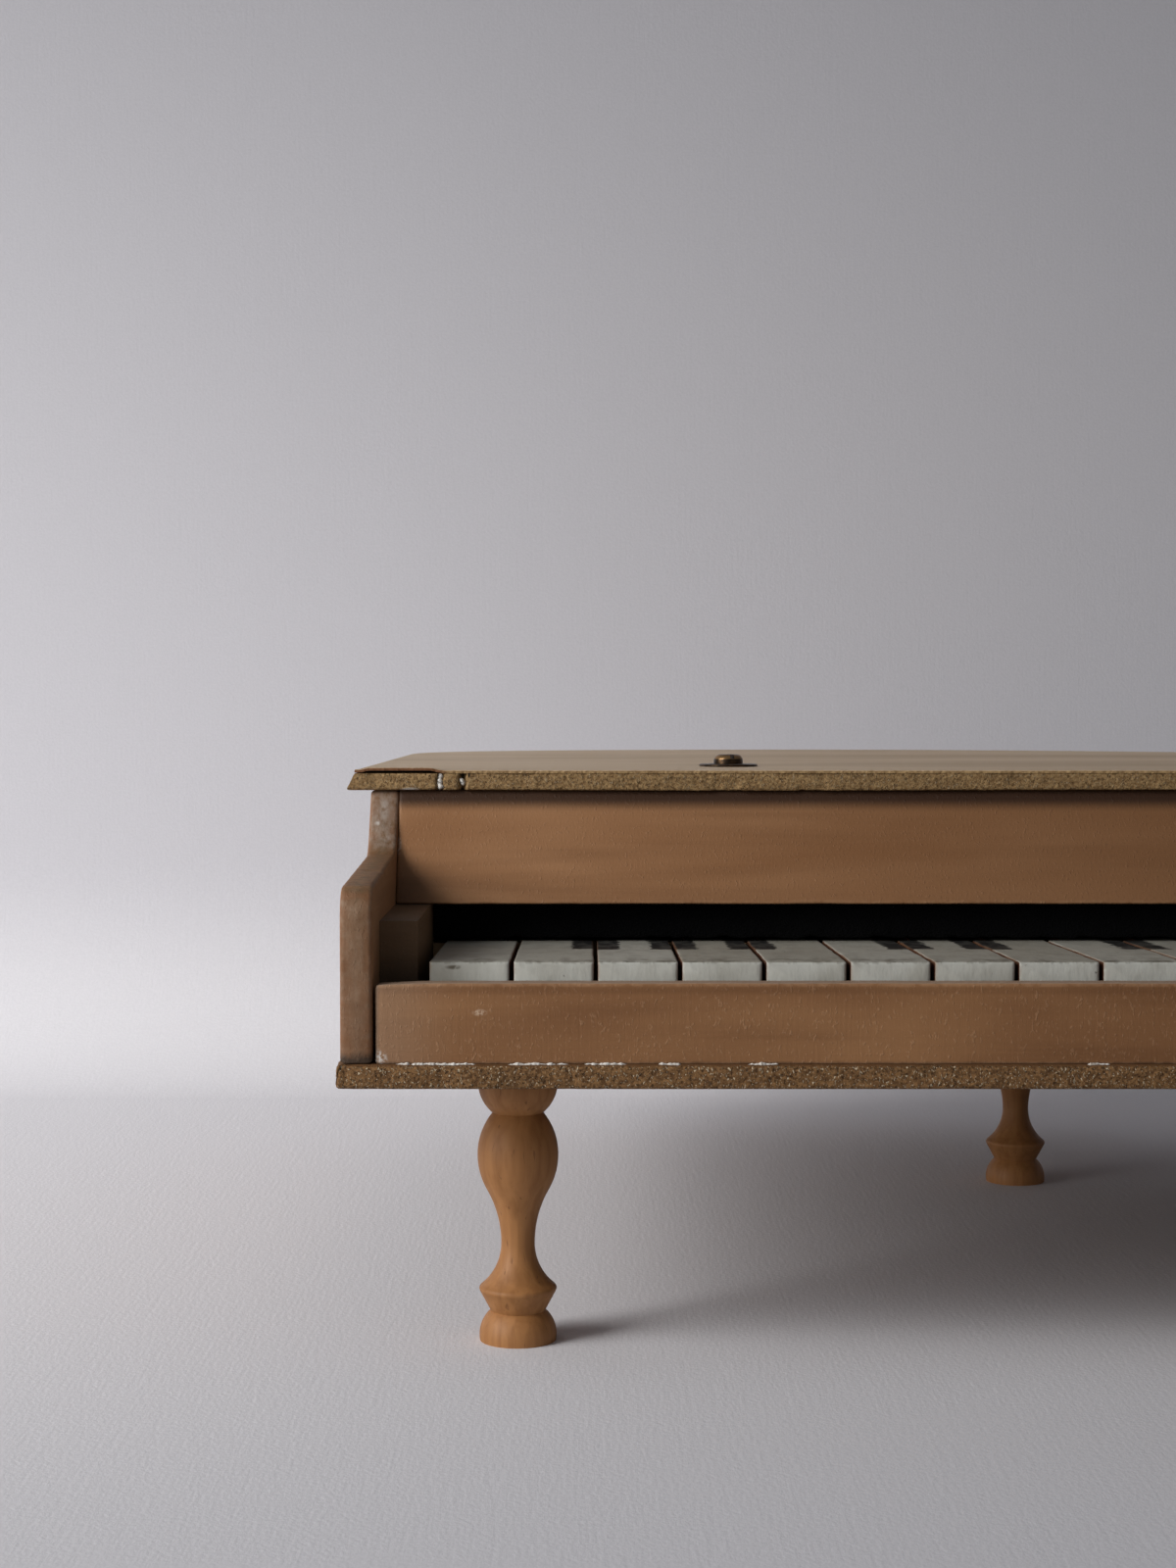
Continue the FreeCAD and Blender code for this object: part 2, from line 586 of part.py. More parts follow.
def make_base_board():
    """Base board with three bored seats for the leg tenons."""
    body = new_body("base_board", y="Layout.front", z="Sizes.leg_height")
    outline = new_sketch(body, "XY_Plane", "base_outline")
    draw_plan(outline, "Sizes.base_overhang", "Layout.base_front")
    pad = add_pad(body, outline, "base_sheet", "Sizes.base_thickness")
    thickness = size("base_thickness")
    soften(body, pad, "base_rounding", "Fillet", "Sizes.base_round",
           lambda edge, middle: abs(middle.z - thickness) < 1e-6)
    seats = new_sketch(body, "XY_Plane", "leg_seats")
    bore = "Sizes.leg_tenon_radius + Sizes.tenon_clearance"
    draw_circle(seats, "left_seat", f"-({FRONT_LEG_ACROSS})", "Sizes.front_leg_back", bore)
    draw_circle(seats, "right_seat", FRONT_LEG_ACROSS, "Sizes.front_leg_back", bore)
    draw_circle(seats, "rear_seat", "0", "Sizes.rear_leg_back", bore)
    add_pocket(body, seats, "leg_bores")
    return body


def make_side(label, across, length):
    """Side board with its arm: rounded nose, rising top, cove and a raked edge up to the lid."""
    body = new_body(label, x=across, y="Layout.front", z="Layout.base_top")
    sketch = new_sketch(body, "YZ_Plane", f"{label}_profile")
    nose = size("arm_nose_radius")
    nose_height = size("arm_nose_height")
    cove = size("cove_radius")
    top = size("side_height")
    lean = math.atan(place("fallboard_lean"))
    arm = place("rake_foot") - cove * math.cos(lean)
    level = place("rake_level") + cove * math.sin(lean)
    run = arm - nose
    climb = level - nose_height
    rise = math.atan2(climb, run) - math.asin((nose + cove) / math.hypot(run, climb))

    def spot(distance, height):
        return FreeCAD.Vector(distance, height, 0)

    def bend(centre, radius, first_angle, last_angle):
        circle = Part.Circle(centre, FreeCAD.Vector(0, 0, 1), radius)
        return Part.ArcOfCircle(circle, first_angle, last_angle)

    nose_bend = bend(spot(nose, nose_height), nose, math.pi / 2 + rise, math.pi)
    cove_bend = bend(spot(arm, level), cove, rise - math.pi / 2, -lean)
    rake_top = spot(place("rake_end"), top)
    back_top = spot(size(length), top)
    back_foot = spot(size(length), 0)
    drawn = draw_path(sketch, (
        (Part.LineSegment(spot(0, 0), nose_bend.EndPoint), True),
        (nose_bend, True),
        (Part.LineSegment(nose_bend.StartPoint, cove_bend.StartPoint), True),
        (cove_bend, True),
        (Part.LineSegment(cove_bend.EndPoint, rake_top), False),
        (Part.LineSegment(rake_top, back_top), False),
        (Part.LineSegment(back_top, back_foot), False),
        (Part.LineSegment(back_foot, spot(0, 0)), False),
    ))
    face, nose_arc, _, cove_arc, rake, head, rear, foot = (number for number, _, _ in drawn)
    for line in (face, rear):
        sketch.addConstraint(Sketcher.Constraint("Vertical", line))
    for line in (head, foot):
        sketch.addConstraint(Sketcher.Constraint("Horizontal", line))
    hold_point(sketch, "foot", face, 1, "0", "0")
    hold(sketch, "nose_foot", "Sizes.arm_nose_height", "DistanceY", -1, 1, face, 2)
    hold(sketch, "nose_round", "Sizes.arm_nose_radius", "Radius", nose_arc)
    hold(sketch, "cove_round", "Sizes.cove_radius", "Radius", cove_arc)
    hold_point(sketch, "rake_foot", rake, 1, "Layout.rake_foot", "Layout.rake_level")
    hold_point(sketch, "rake_top", head, 1, "Layout.rake_end", "Sizes.side_height")
    hold(sketch, "length", f"Sizes.{length}", "DistanceX", -1, 1, rear, 1)
    pad = add_pad(body, sketch, f"{label}_board", "Sizes.side_thickness")
    arm_end = place("rake_end")

    def on_arm(edge, middle):
        along = edge.BoundBox.XLength < 1e-6
        return along and middle.y < arm_end and 1e-6 < middle.z < top - 1e-6

    soften(body, pad, f"{label}_easing", "Fillet", "Sizes.arm_ease", on_arm)
    return body


def make_bentside():
    """Curved side from the end of the spine round the tail to the end of the cheek."""
    body = new_body("bentside", y="Layout.front", z="Layout.base_top")
    sketch = new_sketch(body, "XY_Plane", "bentside_plan")
    thickness = size("rim_thickness")
    half = place("outside")
    outer = plan_arcs(0)
    inner = plan_arcs(-thickness)
    pieces = [(arc, k < 3) for k, arc in enumerate(outer)]
    cheek_end = size("cheek_length")
    spine_end = size("spine_length")
    pieces.append((Part.LineSegment(FreeCAD.Vector(half, cheek_end, 0),
                                    FreeCAD.Vector(half - thickness, cheek_end, 0)), False))
    for k in (3, 2, 1, 0):
        pieces.append((inner[k], k > 0))
    pieces.append((Part.LineSegment(FreeCAD.Vector(thickness - half, spine_end, 0),
                                    FreeCAD.Vector(-half, spine_end, 0)), False))
    drawn = draw_path(sketch, pieces)
    outside, inside = drawn[0:4], drawn[8:4:-1]
    for near, far in zip(outside, inside):
        sketch.addConstraint(Sketcher.Constraint("Coincident", near[0], 3, far[0], 3))
    for line in (drawn[4][0], drawn[9][0]):
        sketch.addConstraint(Sketcher.Constraint("Horizontal", line))
    hold_point(sketch, "spine_end", outside[0][0], outside[0][1], "-Layout.outside", "Sizes.spine_length")
    hold_point(sketch, "cheek_end", outside[3][0], outside[3][2], "Layout.outside", "Sizes.cheek_length")
    hold(sketch, "tail_corner_level", "Sizes.spine_length", "DistanceY", -1, 1, outside[0][0], 3)
    hold(sketch, "shoulder_level", "Sizes.cheek_length", "DistanceY", -1, 1, outside[3][0], 3)
    hold(sketch, "tail_corner_round", "Sizes.tail_corner_radius", "Radius", outside[0][0])
    hold(sketch, "hollow_round", "Sizes.hollow_radius", "Radius", outside[2][0])
    hold(sketch, "hollow_bend", HOLLOW_BEND, "Angle", outside[2][0])
    hold(sketch, "shoulder_bend", SHOULDER_BEND, "Angle", outside[3][0])
    inner_round = "Sizes.tail_corner_radius - Sizes.rim_thickness"
    hold(sketch, "inner_corner_round", inner_round, "Radius", inside[0][0])
    add_pad(body, sketch, "bentside_wall", "Sizes.side_height")
    return body


def make_lid_layer(label, overhang, level, thickness, bevelled):
    """One layer of the lid, bored for the screws."""
    body = new_body(label, y="Layout.front", z=level)
    outline = new_sketch(body, "XY_Plane", f"{label}_outline")
    draw_plan(outline, overhang, "Layout.lid_front")
    sheet = add_pad(body, outline, f"{label}_sheet", f"Sizes.{thickness}")
    if bevelled:
        top = size(thickness)
        front = place("lid_front")
        soften(body, sheet, f"{label}_bevelling", "Chamfer", "Sizes.lid_bevel",
               lambda edge, middle: abs(middle.z - top) < 1e-6 and middle.y > front + 1e-6)
    holes = new_sketch(body, "XY_Plane", f"{label}_holes")
    bore = "Sizes.screw_radius + Sizes.screw_clearance"
    draw_circle(holes, "left_hole", "-Layout.screw_place", "Sizes.screw_back", bore)
    draw_circle(holes, "right_hole", "Layout.screw_place", "Sizes.screw_back", bore)
    add_pocket(body, holes, f"{label}_bores")
    return body


def make_lid_screw(label, across):
    """Round-head screw through the lid, with its head on the washer."""
    body = new_body(label, x=across, y=back("Sizes.screw_back"), z="Layout.lid_top")
    sketch = new_sketch(body, "XZ_Plane", f"{label}_profile")
    shank = size("screw_radius")
    seat = size("washer_thickness")
    rim = size("screw_head_radius")
    rise = size("screw_head_height")
    tip = place("case_top") - size("screw_bite") - place("lid_top")
    dome = (rim ** 2 + rise ** 2) / (2 * rise)
    half = math.acos((dome - rise) / dome) / 2
    crown = FreeCAD.Vector(dome * math.sin(half), seat + rise - dome + dome * math.cos(half), 0)
    corners = [FreeCAD.Vector(x, y, 0) for x, y in (
        (0, tip), (shank, tip + shank), (shank, seat), (rim, seat), (0, seat + rise))]
    curves = [Part.LineSegment(corners[k], corners[k + 1]) for k in range(3)]
    curves.append(Part.Arc(corners[3], crown, corners[4]))
    curves.append(Part.LineSegment(corners[4], corners[0]))
    drawn = draw_path(sketch, [(curve, False) for curve in curves])
    point = "Layout.case_top - Sizes.screw_bite - Layout.lid_top"
    ties = (
        ("point", "0", point),
        ("shank_foot", "Sizes.screw_radius", f"{point} + Sizes.screw_radius"),
        ("shank_top", "Sizes.screw_radius", "Sizes.washer_thickness"),
        ("head_rim", "Sizes.screw_head_radius", "Sizes.washer_thickness"),
        ("head_top", "0", "Sizes.washer_thickness + Sizes.screw_head_height"),
    )
    for (number, first, _), (name, radius, height) in zip(drawn, ties):
        hold_point(sketch, name, number, first, radius, height)
    add_turning(body, sketch)
    return body


def make_washer(label, across):
    """Flat washer on the lid."""
    body = new_body(label, x=across, y=back("Sizes.screw_back"), z="Layout.lid_top")
    sketch = new_sketch(body, "XY_Plane", f"{label}_ring")
    draw_circle(sketch, "rim", "0", "0", "Sizes.washer_radius")
    draw_circle(sketch, "bore", "0", "0", "Sizes.screw_radius + Sizes.screw_clearance")
    add_pad(body, sketch, f"{label}_disc", "Sizes.washer_thickness")
    return body


def make_lid_rail():
    """Cross rail between the sides, with pilot holes that the lid screws fill."""
    body = new_body("lid_rail", x="-Layout.inside", y=back("Sizes.screw_back - Sizes.lid_rail_depth / 2"),
                    z="Layout.case_top - Sizes.lid_rail_height")
    face = new_sketch(body, "XY_Plane", "lid_rail_outline")
    draw_rectangle(face, "0", "0", "2 * Layout.inside", "Sizes.lid_rail_depth")
    add_pad(body, face, "lid_rail_bar", "Sizes.lid_rail_height")
    holes = new_sketch(body, "XY_Plane", "pilot_holes", "Sizes.lid_rail_height")
    for name, sign in (("left", "-"), ("right", "+")):
        draw_circle(holes, f"{name}_pilot", f"Layout.inside {sign} Layout.screw_place",
                    "Sizes.lid_rail_depth / 2", "Sizes.screw_radius")
    add_pocket(body, holes, "pilot_bores", "Sizes.screw_bite")
    return body


def make_fallboard():
    """Leaning board on the key blocks, up to the lid."""
    body = new_body("fallboard", x="-Layout.inside", y="Layout.front", z="Layout.block_top")
    sketch = new_sketch(body, "YZ_Plane", "fallboard_section")
    foot = "Sizes.fallboard_foot_back"
    head = "Sizes.fallboard_head_back"
    depth = "Sizes.fallboard_thickness"
    height = "Layout.fallboard_height"
    draw_polygon(sketch, ((foot, "0"), (f"{foot} + {depth}", "0"),
                          (f"{head} + {depth}", height), (head, height)))
    add_pad(body, sketch, "fallboard_board", "2 * Layout.inside")
    return body


def make_dust_felt():
    """Felt strip on the back of the fallboard, hanging to just above the keys."""
    half = "(Layout.block_inside - Sizes.felt_end_gap)"
    body = new_body("dust_felt", x=f"-{half}", y="Layout.front", z="Layout.block_top")
    sketch = new_sketch(body, "YZ_Plane", "dust_felt_section")
    low = "Layout.key_top + Sizes.felt_key_gap - Layout.block_top"
    depth = "Sizes.felt_thickness"
    draw_polygon(sketch, (("Layout.felt_front", low), (f"Layout.felt_front + {depth}", low),
                          (f"Layout.felt_front + {depth}", "0"),
                          (f"Layout.felt_head + {depth}", "Sizes.felt_hold"),
                          ("Layout.felt_head", "Sizes.felt_hold"), ("Layout.felt_front", "0")))
    add_pad(body, sketch, "dust_felt_strip", f"2 * {half}")
    return body


def make_key_slip():
    """Board in front of the keys, with its top edges eased."""
    half = "(Layout.inside - Sizes.slip_gap)"
    body = new_body("key_slip", x=f"-{half}", y=back("Sizes.slip_setback"), z="Layout.base_top")
    sketch = new_sketch(body, "YZ_Plane", "key_slip_section")
    draw_rectangle(sketch, "0", "0", "Sizes.slip_thickness", "Sizes.slip_height")
    pad = add_pad(body, sketch, "key_slip_board", f"2 * {half}")
    top = size("slip_height")
    soften(body, pad, "key_slip_easing", "Fillet", "Sizes.slip_ease",
           lambda edge, middle: abs(middle.z - top) < 1e-6)
    return body


def make_key_block(label, across):
    """Block between the end key and the side, which carries an end of the fallboard."""
    depth = "Layout.pivot_rail_front - Sizes.block_end_gap - Sizes.block_back"
    return make_box(label, ("Sizes.block_width", depth, "Sizes.block_height"),
                    (across, back("Sizes.block_back"), "Layout.base_top"))


def key_across(number):
    """X place of a key, counted from 0 at the bass end."""
    return f"Layout.first_key + {number} * Sizes.key_pitch"


def make_key(label, number):
    """Key: wide head, narrow lever, cross bore for the rod and a socket for the hammer."""
    body = new_body(label, x=key_across(number), y="Layout.front", z="Layout.key_bottom")
    outline = new_sketch(body, "XY_Plane", f"{label}_outline")
    wide = "(Sizes.key_pitch - Sizes.key_gap) / 2"
    narrow = "Sizes.lever_width / 2"
    right_half = ((wide, "Layout.key_front"), (wide, "Layout.head_end"),
                  (narrow, "Layout.head_end"), (narrow, "Layout.lever_end"))
    left_half = tuple((f"-{across}", up) for across, up in reversed(right_half))
    draw_polygon(outline, right_half + left_half)
    pad = add_pad(body, outline, f"{label}_blank", "Sizes.key_thickness")
    top = size("key_thickness")
    head_end = place("head_end")
    soften(body, pad, f"{label}_easing", "Fillet", "Sizes.key_ease",
           lambda edge, middle: abs(middle.z - top) < 1e-6 and middle.y < head_end - 1e-6)
    bore = new_sketch(body, "YZ_Plane", f"{label}_bore")
    draw_circle(bore, "rod", "Sizes.pivot_back", "Sizes.key_thickness / 2",
                "Sizes.pivot_radius + Sizes.pivot_clearance")
    add_pocket(body, bore, f"{label}_rod_bore")
    socket = new_sketch(body, "XY_Plane", f"{label}_socket", "Sizes.key_thickness")
    draw_circle(socket, "stem", "0", "Sizes.strike_back", "Sizes.hammer_stem_radius")
    add_pocket(body, socket, f"{label}_stem_socket", "Sizes.hammer_stem_depth")
    return body


def make_hammer(label, number):
    """Turned hammer peg with its stem in the key."""
    body = new_body(label, x=key_across(number), y=back("Sizes.strike_back"), z="Layout.key_top")
    sketch = new_sketch(body, "XZ_Plane", f"{label}_profile")
    stem = size("hammer_stem_radius")
    depth = size("hammer_stem_depth")
    collar = size("hammer_collar_radius")
    neck = (size("hammer_neck_radius"), size("hammer_neck_rise"))
    head = (size("hammer_head_radius"), size("hammer_head_rise"))
    top = size("hammer_rise")
    corners = [FreeCAD.Vector(x, y, 0) for x, y in (
        (0, -depth), (stem, -depth), (stem, 0), (collar, 0), neck, head, (0, top))]
    rise = top - head[1]
    dome = (head[0] ** 2 + rise ** 2) / (2 * rise)
    half = math.asin(head[0] / dome) / 2
    crown = FreeCAD.Vector(dome * math.sin(half), top - dome + dome * math.cos(half), 0)
    curves = [Part.LineSegment(corners[k], corners[k + 1]) for k in range(5)]
    curves.append(Part.Arc(corners[5], crown, corners[6]))
    curves.append(Part.LineSegment(corners[6], corners[0]))
    drawn = draw_path(sketch, [(curve, False) for curve in curves])
    ties = (
        ("stem_end", "0", "-Sizes.hammer_stem_depth"),
        ("stem_edge", "Sizes.hammer_stem_radius", "-Sizes.hammer_stem_depth"),
        ("stem_top", "Sizes.hammer_stem_radius", "0"),
        ("collar", "Sizes.hammer_collar_radius", "0"),
        ("neck", "Sizes.hammer_neck_radius", "Sizes.hammer_neck_rise"),
        ("head", "Sizes.hammer_head_radius", "Sizes.hammer_head_rise"),
        ("crown", "0", "Sizes.hammer_rise"),
    )
    for (line, first, _), (name, radius, height) in zip(drawn, ties):
        hold_point(sketch, name, line, first, radius, height)
    add_turning(body, sketch)
    return body


def make_pivot_rail():
    """Comb rail: a slot for each lever, with the rod through all the teeth."""
    body = new_body("pivot_rail", x="-Layout.inside", y="Layout.front", z="Layout.base_top")
    section = new_sketch(body, "YZ_Plane", "pivot_rail_section")
    front = "Layout.pivot_rail_front"
    height = "Layout.comb_top - Layout.base_top"
    draw_rectangle(section, front, "0", f"{front} + Sizes.pivot_rail_depth", height)
    add_pad(body, section, "pivot_rail_bar", "2 * Layout.inside")
    slot = new_sketch(body, "XZ_Plane", "comb_slot")
    middle = "Layout.inside + Layout.first_key"
    draw_rectangle(slot, f"{middle} - Layout.slot_width / 2", "Layout.comb_floor - Layout.base_top",
                   f"{middle} + Layout.slot_width / 2", height)
    cut = add_pocket(body, slot, "comb_slot_cut")
    comb = body.newObject("PartDesign::LinearPattern", "comb")
    comb.Originals = [cut]
    comb.Direction = (slot, ["H_Axis"])
    comb.Occurrences = KEYS
    comb.setExpression("Length", f"{KEYS - 1} * Sizes.key_pitch")
    body.Tip = comb
    doc.recompute()
    bore = new_sketch(body, "YZ_Plane", "pivot_rail_bore")
    draw_circle(bore, "rod", "Sizes.pivot_back", "Layout.pivot_level - Layout.base_top", "Sizes.pivot_radius")
    add_pocket(body, bore, "pivot_rail_rod_bore")
    return body


def make_pivot_rod():
    """Steel rod through the comb rail and every key."""
    rod = doc.addObject("Part::Cylinder", "pivot_rod")
    rod.Label = "pivot_rod"
    rod.Placement = FreeCAD.Placement(FreeCAD.Vector(), FreeCAD.Rotation(FreeCAD.Vector(0, 1, 0), 90))
    bind(rod, Radius="Sizes.pivot_radius", Height="2 * (Layout.inside - Sizes.rod_end_gap)",
         x="Sizes.rod_end_gap - Layout.inside", y=back("Sizes.pivot_back"), z="Layout.pivot_level")
    return rod


def make_key_rails():
    """Two rails on the base board, under the fronts and the rear ends of the keys, and their felts."""
    rails = []
    felts = []
    runs = (
        ("front", "Sizes.front_rail_back", "Sizes.front_rail_depth", "Layout.front_felt_top"),
        ("back", "Layout.back_rail_back", "Sizes.back_rail_depth", "Layout.back_felt_top"),
    )
    length = "2 * Layout.rail_half"
    for name, near, depth, felt_top in runs:
        corner = ("-Layout.rail_half", back(near))
        height = f"{felt_top} - Sizes.key_felt_thickness - Layout.base_top"
        rails.append(make_box(f"{name}_key_rail", (length, depth, height), corner + ("Layout.base_top",)))
        felts.append(make_box(f"{name}_key_felt", (length, depth, "Sizes.key_felt_thickness"),
                              corner + (f"{felt_top} - Sizes.key_felt_thickness",)))
    return make_group("key_rails", rails), make_group("key_felts", felts)


def rail_back(sign, across):
    """Y place, from the front, of a bar rail's middle line at an X place."""
    return (f"Sizes.strike_back {sign} (Layout.bass_reach"
            f" + Layout.reach_slope * ({across} - Layout.first_key))")


def make_rail_strip(label, sign, left, right, low, height):
    """Strip along a bar rail, straight across its ends."""
    body = new_body(label, y="Layout.front", z=low)
    sketch = new_sketch(body, "XY_Plane", f"{label}_outline")
    half = "Sizes.bar_rail_depth / 2"
    left_middle = rail_back(sign, left)
    right_middle = rail_back(sign, right)
    draw_polygon(sketch, ((left, f"{left_middle} - {half}"), (right, f"{right_middle} - {half}"),
                          (right, f"{right_middle} + {half}"), (left, f"{left_middle} + {half}")))
    add_pad(body, sketch, f"{label}_strip", height)
    return body


def make_bar_post(label, across, middle):
    """Post on the base board that carries an end of the front bar rail."""
    return make_box(label, ("Layout.inside - Layout.post_inside", "Sizes.bar_post_depth",
                            "Layout.beam_bottom - Layout.base_top"),
                    (across, back(f"{rail_back('-', middle)} - Sizes.bar_post_depth / 2"), "Layout.base_top"))


def make_tone_bars():
    """Tone bars with a hole at each still point, and a pin with a head through each hole."""
    bars = []
    pins = []
    shanks = {"-": [], "+": []}
    reach = "(Layout.bar_top + Sizes.pin_head_gap - Layout.bar_rail_top + Sizes.pin_depth)"
    for number, semitones in enumerate(SEMITONES):
        name = f"{number + 1:02d}"
        across = key_across(number)
        length = f"Sizes.bar_length * 2 ^ (-{semitones} / 24)"
        blank = make_box(f"bar_blank_{name}", ("Sizes.bar_width", length, "Sizes.bar_thickness"),
                         (f"{across} - Sizes.bar_width / 2", back(f"Sizes.strike_back - {length} / 2"),
                          "Layout.bar_bottom"))
        holes = []
        for end, sign in (("front", "-"), ("rear", "+")):
            middle = back(rail_back(sign, f"({across})"))
            mark = f"{end}_{name}"
            holes.append(make_cylinder(f"bar_hole_{mark}", "Sizes.bar_hole_radius", "Sizes.bar_thickness",
                                       (across, middle, "Layout.bar_bottom")))
            shank = make_cylinder(f"pin_shank_{mark}", "Sizes.pin_radius", reach,
                                  (across, middle, "Layout.bar_rail_top - Sizes.pin_depth"))
            head = make_cylinder(f"pin_head_{mark}", "Sizes.pin_head_radius", "Sizes.pin_head_thickness",
                                 (across, middle, "Layout.bar_top + Sizes.pin_head_gap"))
            pin = doc.addObject("Part::Fuse", f"bar_pin_{mark}")
            pin.Base = shank
            pin.Tool = head
            pins.append(pin)
            shanks[sign].append(shank)
        bars.append(make_cut(f"tone_bar_{name}", blank, make_group(f"bar_holes_{name}", holes)))
    return make_group("tone_bars", bars), make_group("bar_pins", pins), shanks


def make_bar_frame(shanks):
    """The two rails under the bars, the posts of the front one, and their felts, bored for the pins."""
    left = "-Layout.inside"
    right = "Layout.inside"
    height = "Sizes.bar_beam_height"
    front_shanks = make_group("front_shanks", shanks["-"])
    rear_shanks = make_group("rear_shanks", shanks["+"])
    beam = make_rail_strip("bar_beam", "-", left, right, "Layout.beam_bottom", height)
    board = make_rail_strip("bar_board", "+", left, "Layout.board_end", "Layout.base_top",
                            "Layout.bar_rail_top - Layout.base_top")
    posts = [make_bar_post("left_bar_post", left, "Layout.first_key"),
             make_bar_post("right_bar_post", "Layout.post_inside", "-Layout.first_key")]
    frame = [make_cut("bored_beam", beam, front_shanks), make_cut("bored_board", board, rear_shanks)] + posts
    felts = []
    runs = (("front", "-", right, front_shanks), ("rear", "+", "Layout.board_end", rear_shanks))
    for end, sign, stop, pins in runs:
        strip = make_rail_strip(f"{end}_bar_felt", sign, left, stop, "Layout.bar_rail_top",
                                "Sizes.bar_felt_thickness")
        felts.append(make_cut(f"bored_{end}_felt", strip, pins))
    return make_group("bar_frame", frame), make_group("bar_felts", felts)


def make_piano():
    """Every sub-part of the piano."""
    left_block = "-Layout.inside"
    subparts = [
        make_base_board(),
        make_side("left_side", "-Layout.outside", "spine_length"),
        make_side("right_side", "Layout.inside", "cheek_length"),
        make_bentside(),
        make_lid_layer("lid", "Sizes.lid_overhang", "Layout.case_top", "lid_core_thickness", True),
        make_lid_layer("lid_face", "Layout.face_overhang", "Layout.core_top", "lid_face_thickness", False),
        make_lid_rail(),
        make_fallboard(),
        make_dust_felt(),
        make_key_slip(),
        make_key_block("left_key_block", left_block),
        make_key_block("right_key_block", "Layout.block_inside"),
        make_leg("front_left_leg", f"-({FRONT_LEG_ACROSS})", "Sizes.front_leg_back"),
        make_leg("front_right_leg", FRONT_LEG_ACROSS, "Sizes.front_leg_back"),
        make_leg("rear_leg", "0", "Sizes.rear_leg_back"),
        make_pivot_rail(),
        make_pivot_rod(),
    ]
    fasteners = []
    for name, across in (("left", "-Layout.screw_place"), ("right", "Layout.screw_place")):
        fasteners.append(make_lid_screw(f"{name}_lid_screw", across))
        fasteners.append(make_washer(f"{name}_washer", across))
    subparts.append(make_group("lid_screws", fasteners))
    subparts.extend(make_key_rails())
    tone_bars, bar_pins, shanks = make_tone_bars()
    subparts.extend((tone_bars, bar_pins))
    subparts.extend(make_bar_frame(shanks))
    for number in range(KEYS):
        subparts.append(make_key(f"key_{number + 1:02d}", number))
        subparts.append(make_hammer(f"hammer_{number + 1:02d}", number))
    return subparts


def check_piano(subparts):
    """Stop if any object failed or any sub-part's shape is missing or faulty."""
    for item in doc.Objects:
        if "Invalid" in item.State or "Error" in item.State:
            raise RuntimeError(f"{item.Name} failed: {item.State}")
    for item in subparts:
        if item.Shape.isNull() or not item.Shape.isValid() or not item.Shape.Solids:
            raise RuntimeError(f"{item.Label} has no sound shape")


piano = make_piano()
doc.recompute()
check_piano(piano)
os.makedirs("parts", exist_ok=True)
for subpart in piano:
    subpart.Shape.exportStep(f"parts/{subpart.Label}.step")
    print(subpart.Label, len(subpart.Shape.Solids), "solids", round(subpart.Shape.Volume), "mm3")
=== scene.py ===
# %% [markdown]
# # A toy grand piano
# The real thing is a small wooden piano on three turned legs: two thin side boards, a bent
# rim behind them, a lid of pressed fibre with a thin sheet of veneer on it, and eighteen
# white keys with the black ones only painted on. The solids of all these pieces are loaded
# first and stay where they are. The lesson then gives each one its finish, and builds again,
# with finer shapes, the pieces that are rough, torn or soft.

import math

import bmesh
import bpy
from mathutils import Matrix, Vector, noise


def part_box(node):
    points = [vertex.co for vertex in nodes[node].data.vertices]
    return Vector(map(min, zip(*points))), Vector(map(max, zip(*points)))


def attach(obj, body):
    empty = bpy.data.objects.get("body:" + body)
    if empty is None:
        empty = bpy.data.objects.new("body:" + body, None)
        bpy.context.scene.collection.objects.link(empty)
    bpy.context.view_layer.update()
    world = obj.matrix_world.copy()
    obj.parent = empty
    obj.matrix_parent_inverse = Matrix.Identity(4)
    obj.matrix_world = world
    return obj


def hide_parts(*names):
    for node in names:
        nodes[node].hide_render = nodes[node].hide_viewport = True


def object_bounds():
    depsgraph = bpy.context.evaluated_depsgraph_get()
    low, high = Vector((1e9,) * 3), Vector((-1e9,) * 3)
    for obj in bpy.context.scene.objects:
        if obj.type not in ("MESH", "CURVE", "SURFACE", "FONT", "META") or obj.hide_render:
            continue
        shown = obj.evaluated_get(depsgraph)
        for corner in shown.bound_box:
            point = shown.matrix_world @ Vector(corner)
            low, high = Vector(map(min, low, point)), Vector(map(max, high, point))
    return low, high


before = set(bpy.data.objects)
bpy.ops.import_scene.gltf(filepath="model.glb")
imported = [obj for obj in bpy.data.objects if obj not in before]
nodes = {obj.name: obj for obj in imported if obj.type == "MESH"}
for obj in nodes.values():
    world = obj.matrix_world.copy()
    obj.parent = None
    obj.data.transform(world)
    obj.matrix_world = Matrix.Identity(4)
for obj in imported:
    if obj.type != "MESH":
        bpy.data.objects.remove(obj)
cad_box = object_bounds()

# %% [markdown]
# ## Camera
# The picture was taken from a low seat in front of the keys, a little left of the middle,
# with a long lens. A camera object could be aimed by hand. Here its height, its place and its
# tilt are numbers that were worked out from the edges that run away from the viewer: they all
# meet in one point of the picture, which lies on the horizon.

# %% Camera
PICTURE_HEIGHT = 1600
FOCAL_LENGTH = 2500
HORIZON = 718.5
SENSOR = 36
CAMERA_PLACE = (-0.1376, -0.7374, 0.1534)

scene = bpy.context.scene
scene.view_settings.view_transform = "Standard"


def add_object(name, data):
    """A new object in the scene, at the origin."""
    made = bpy.data.objects.new(name, data)
    scene.collection.objects.link(made)
    return made


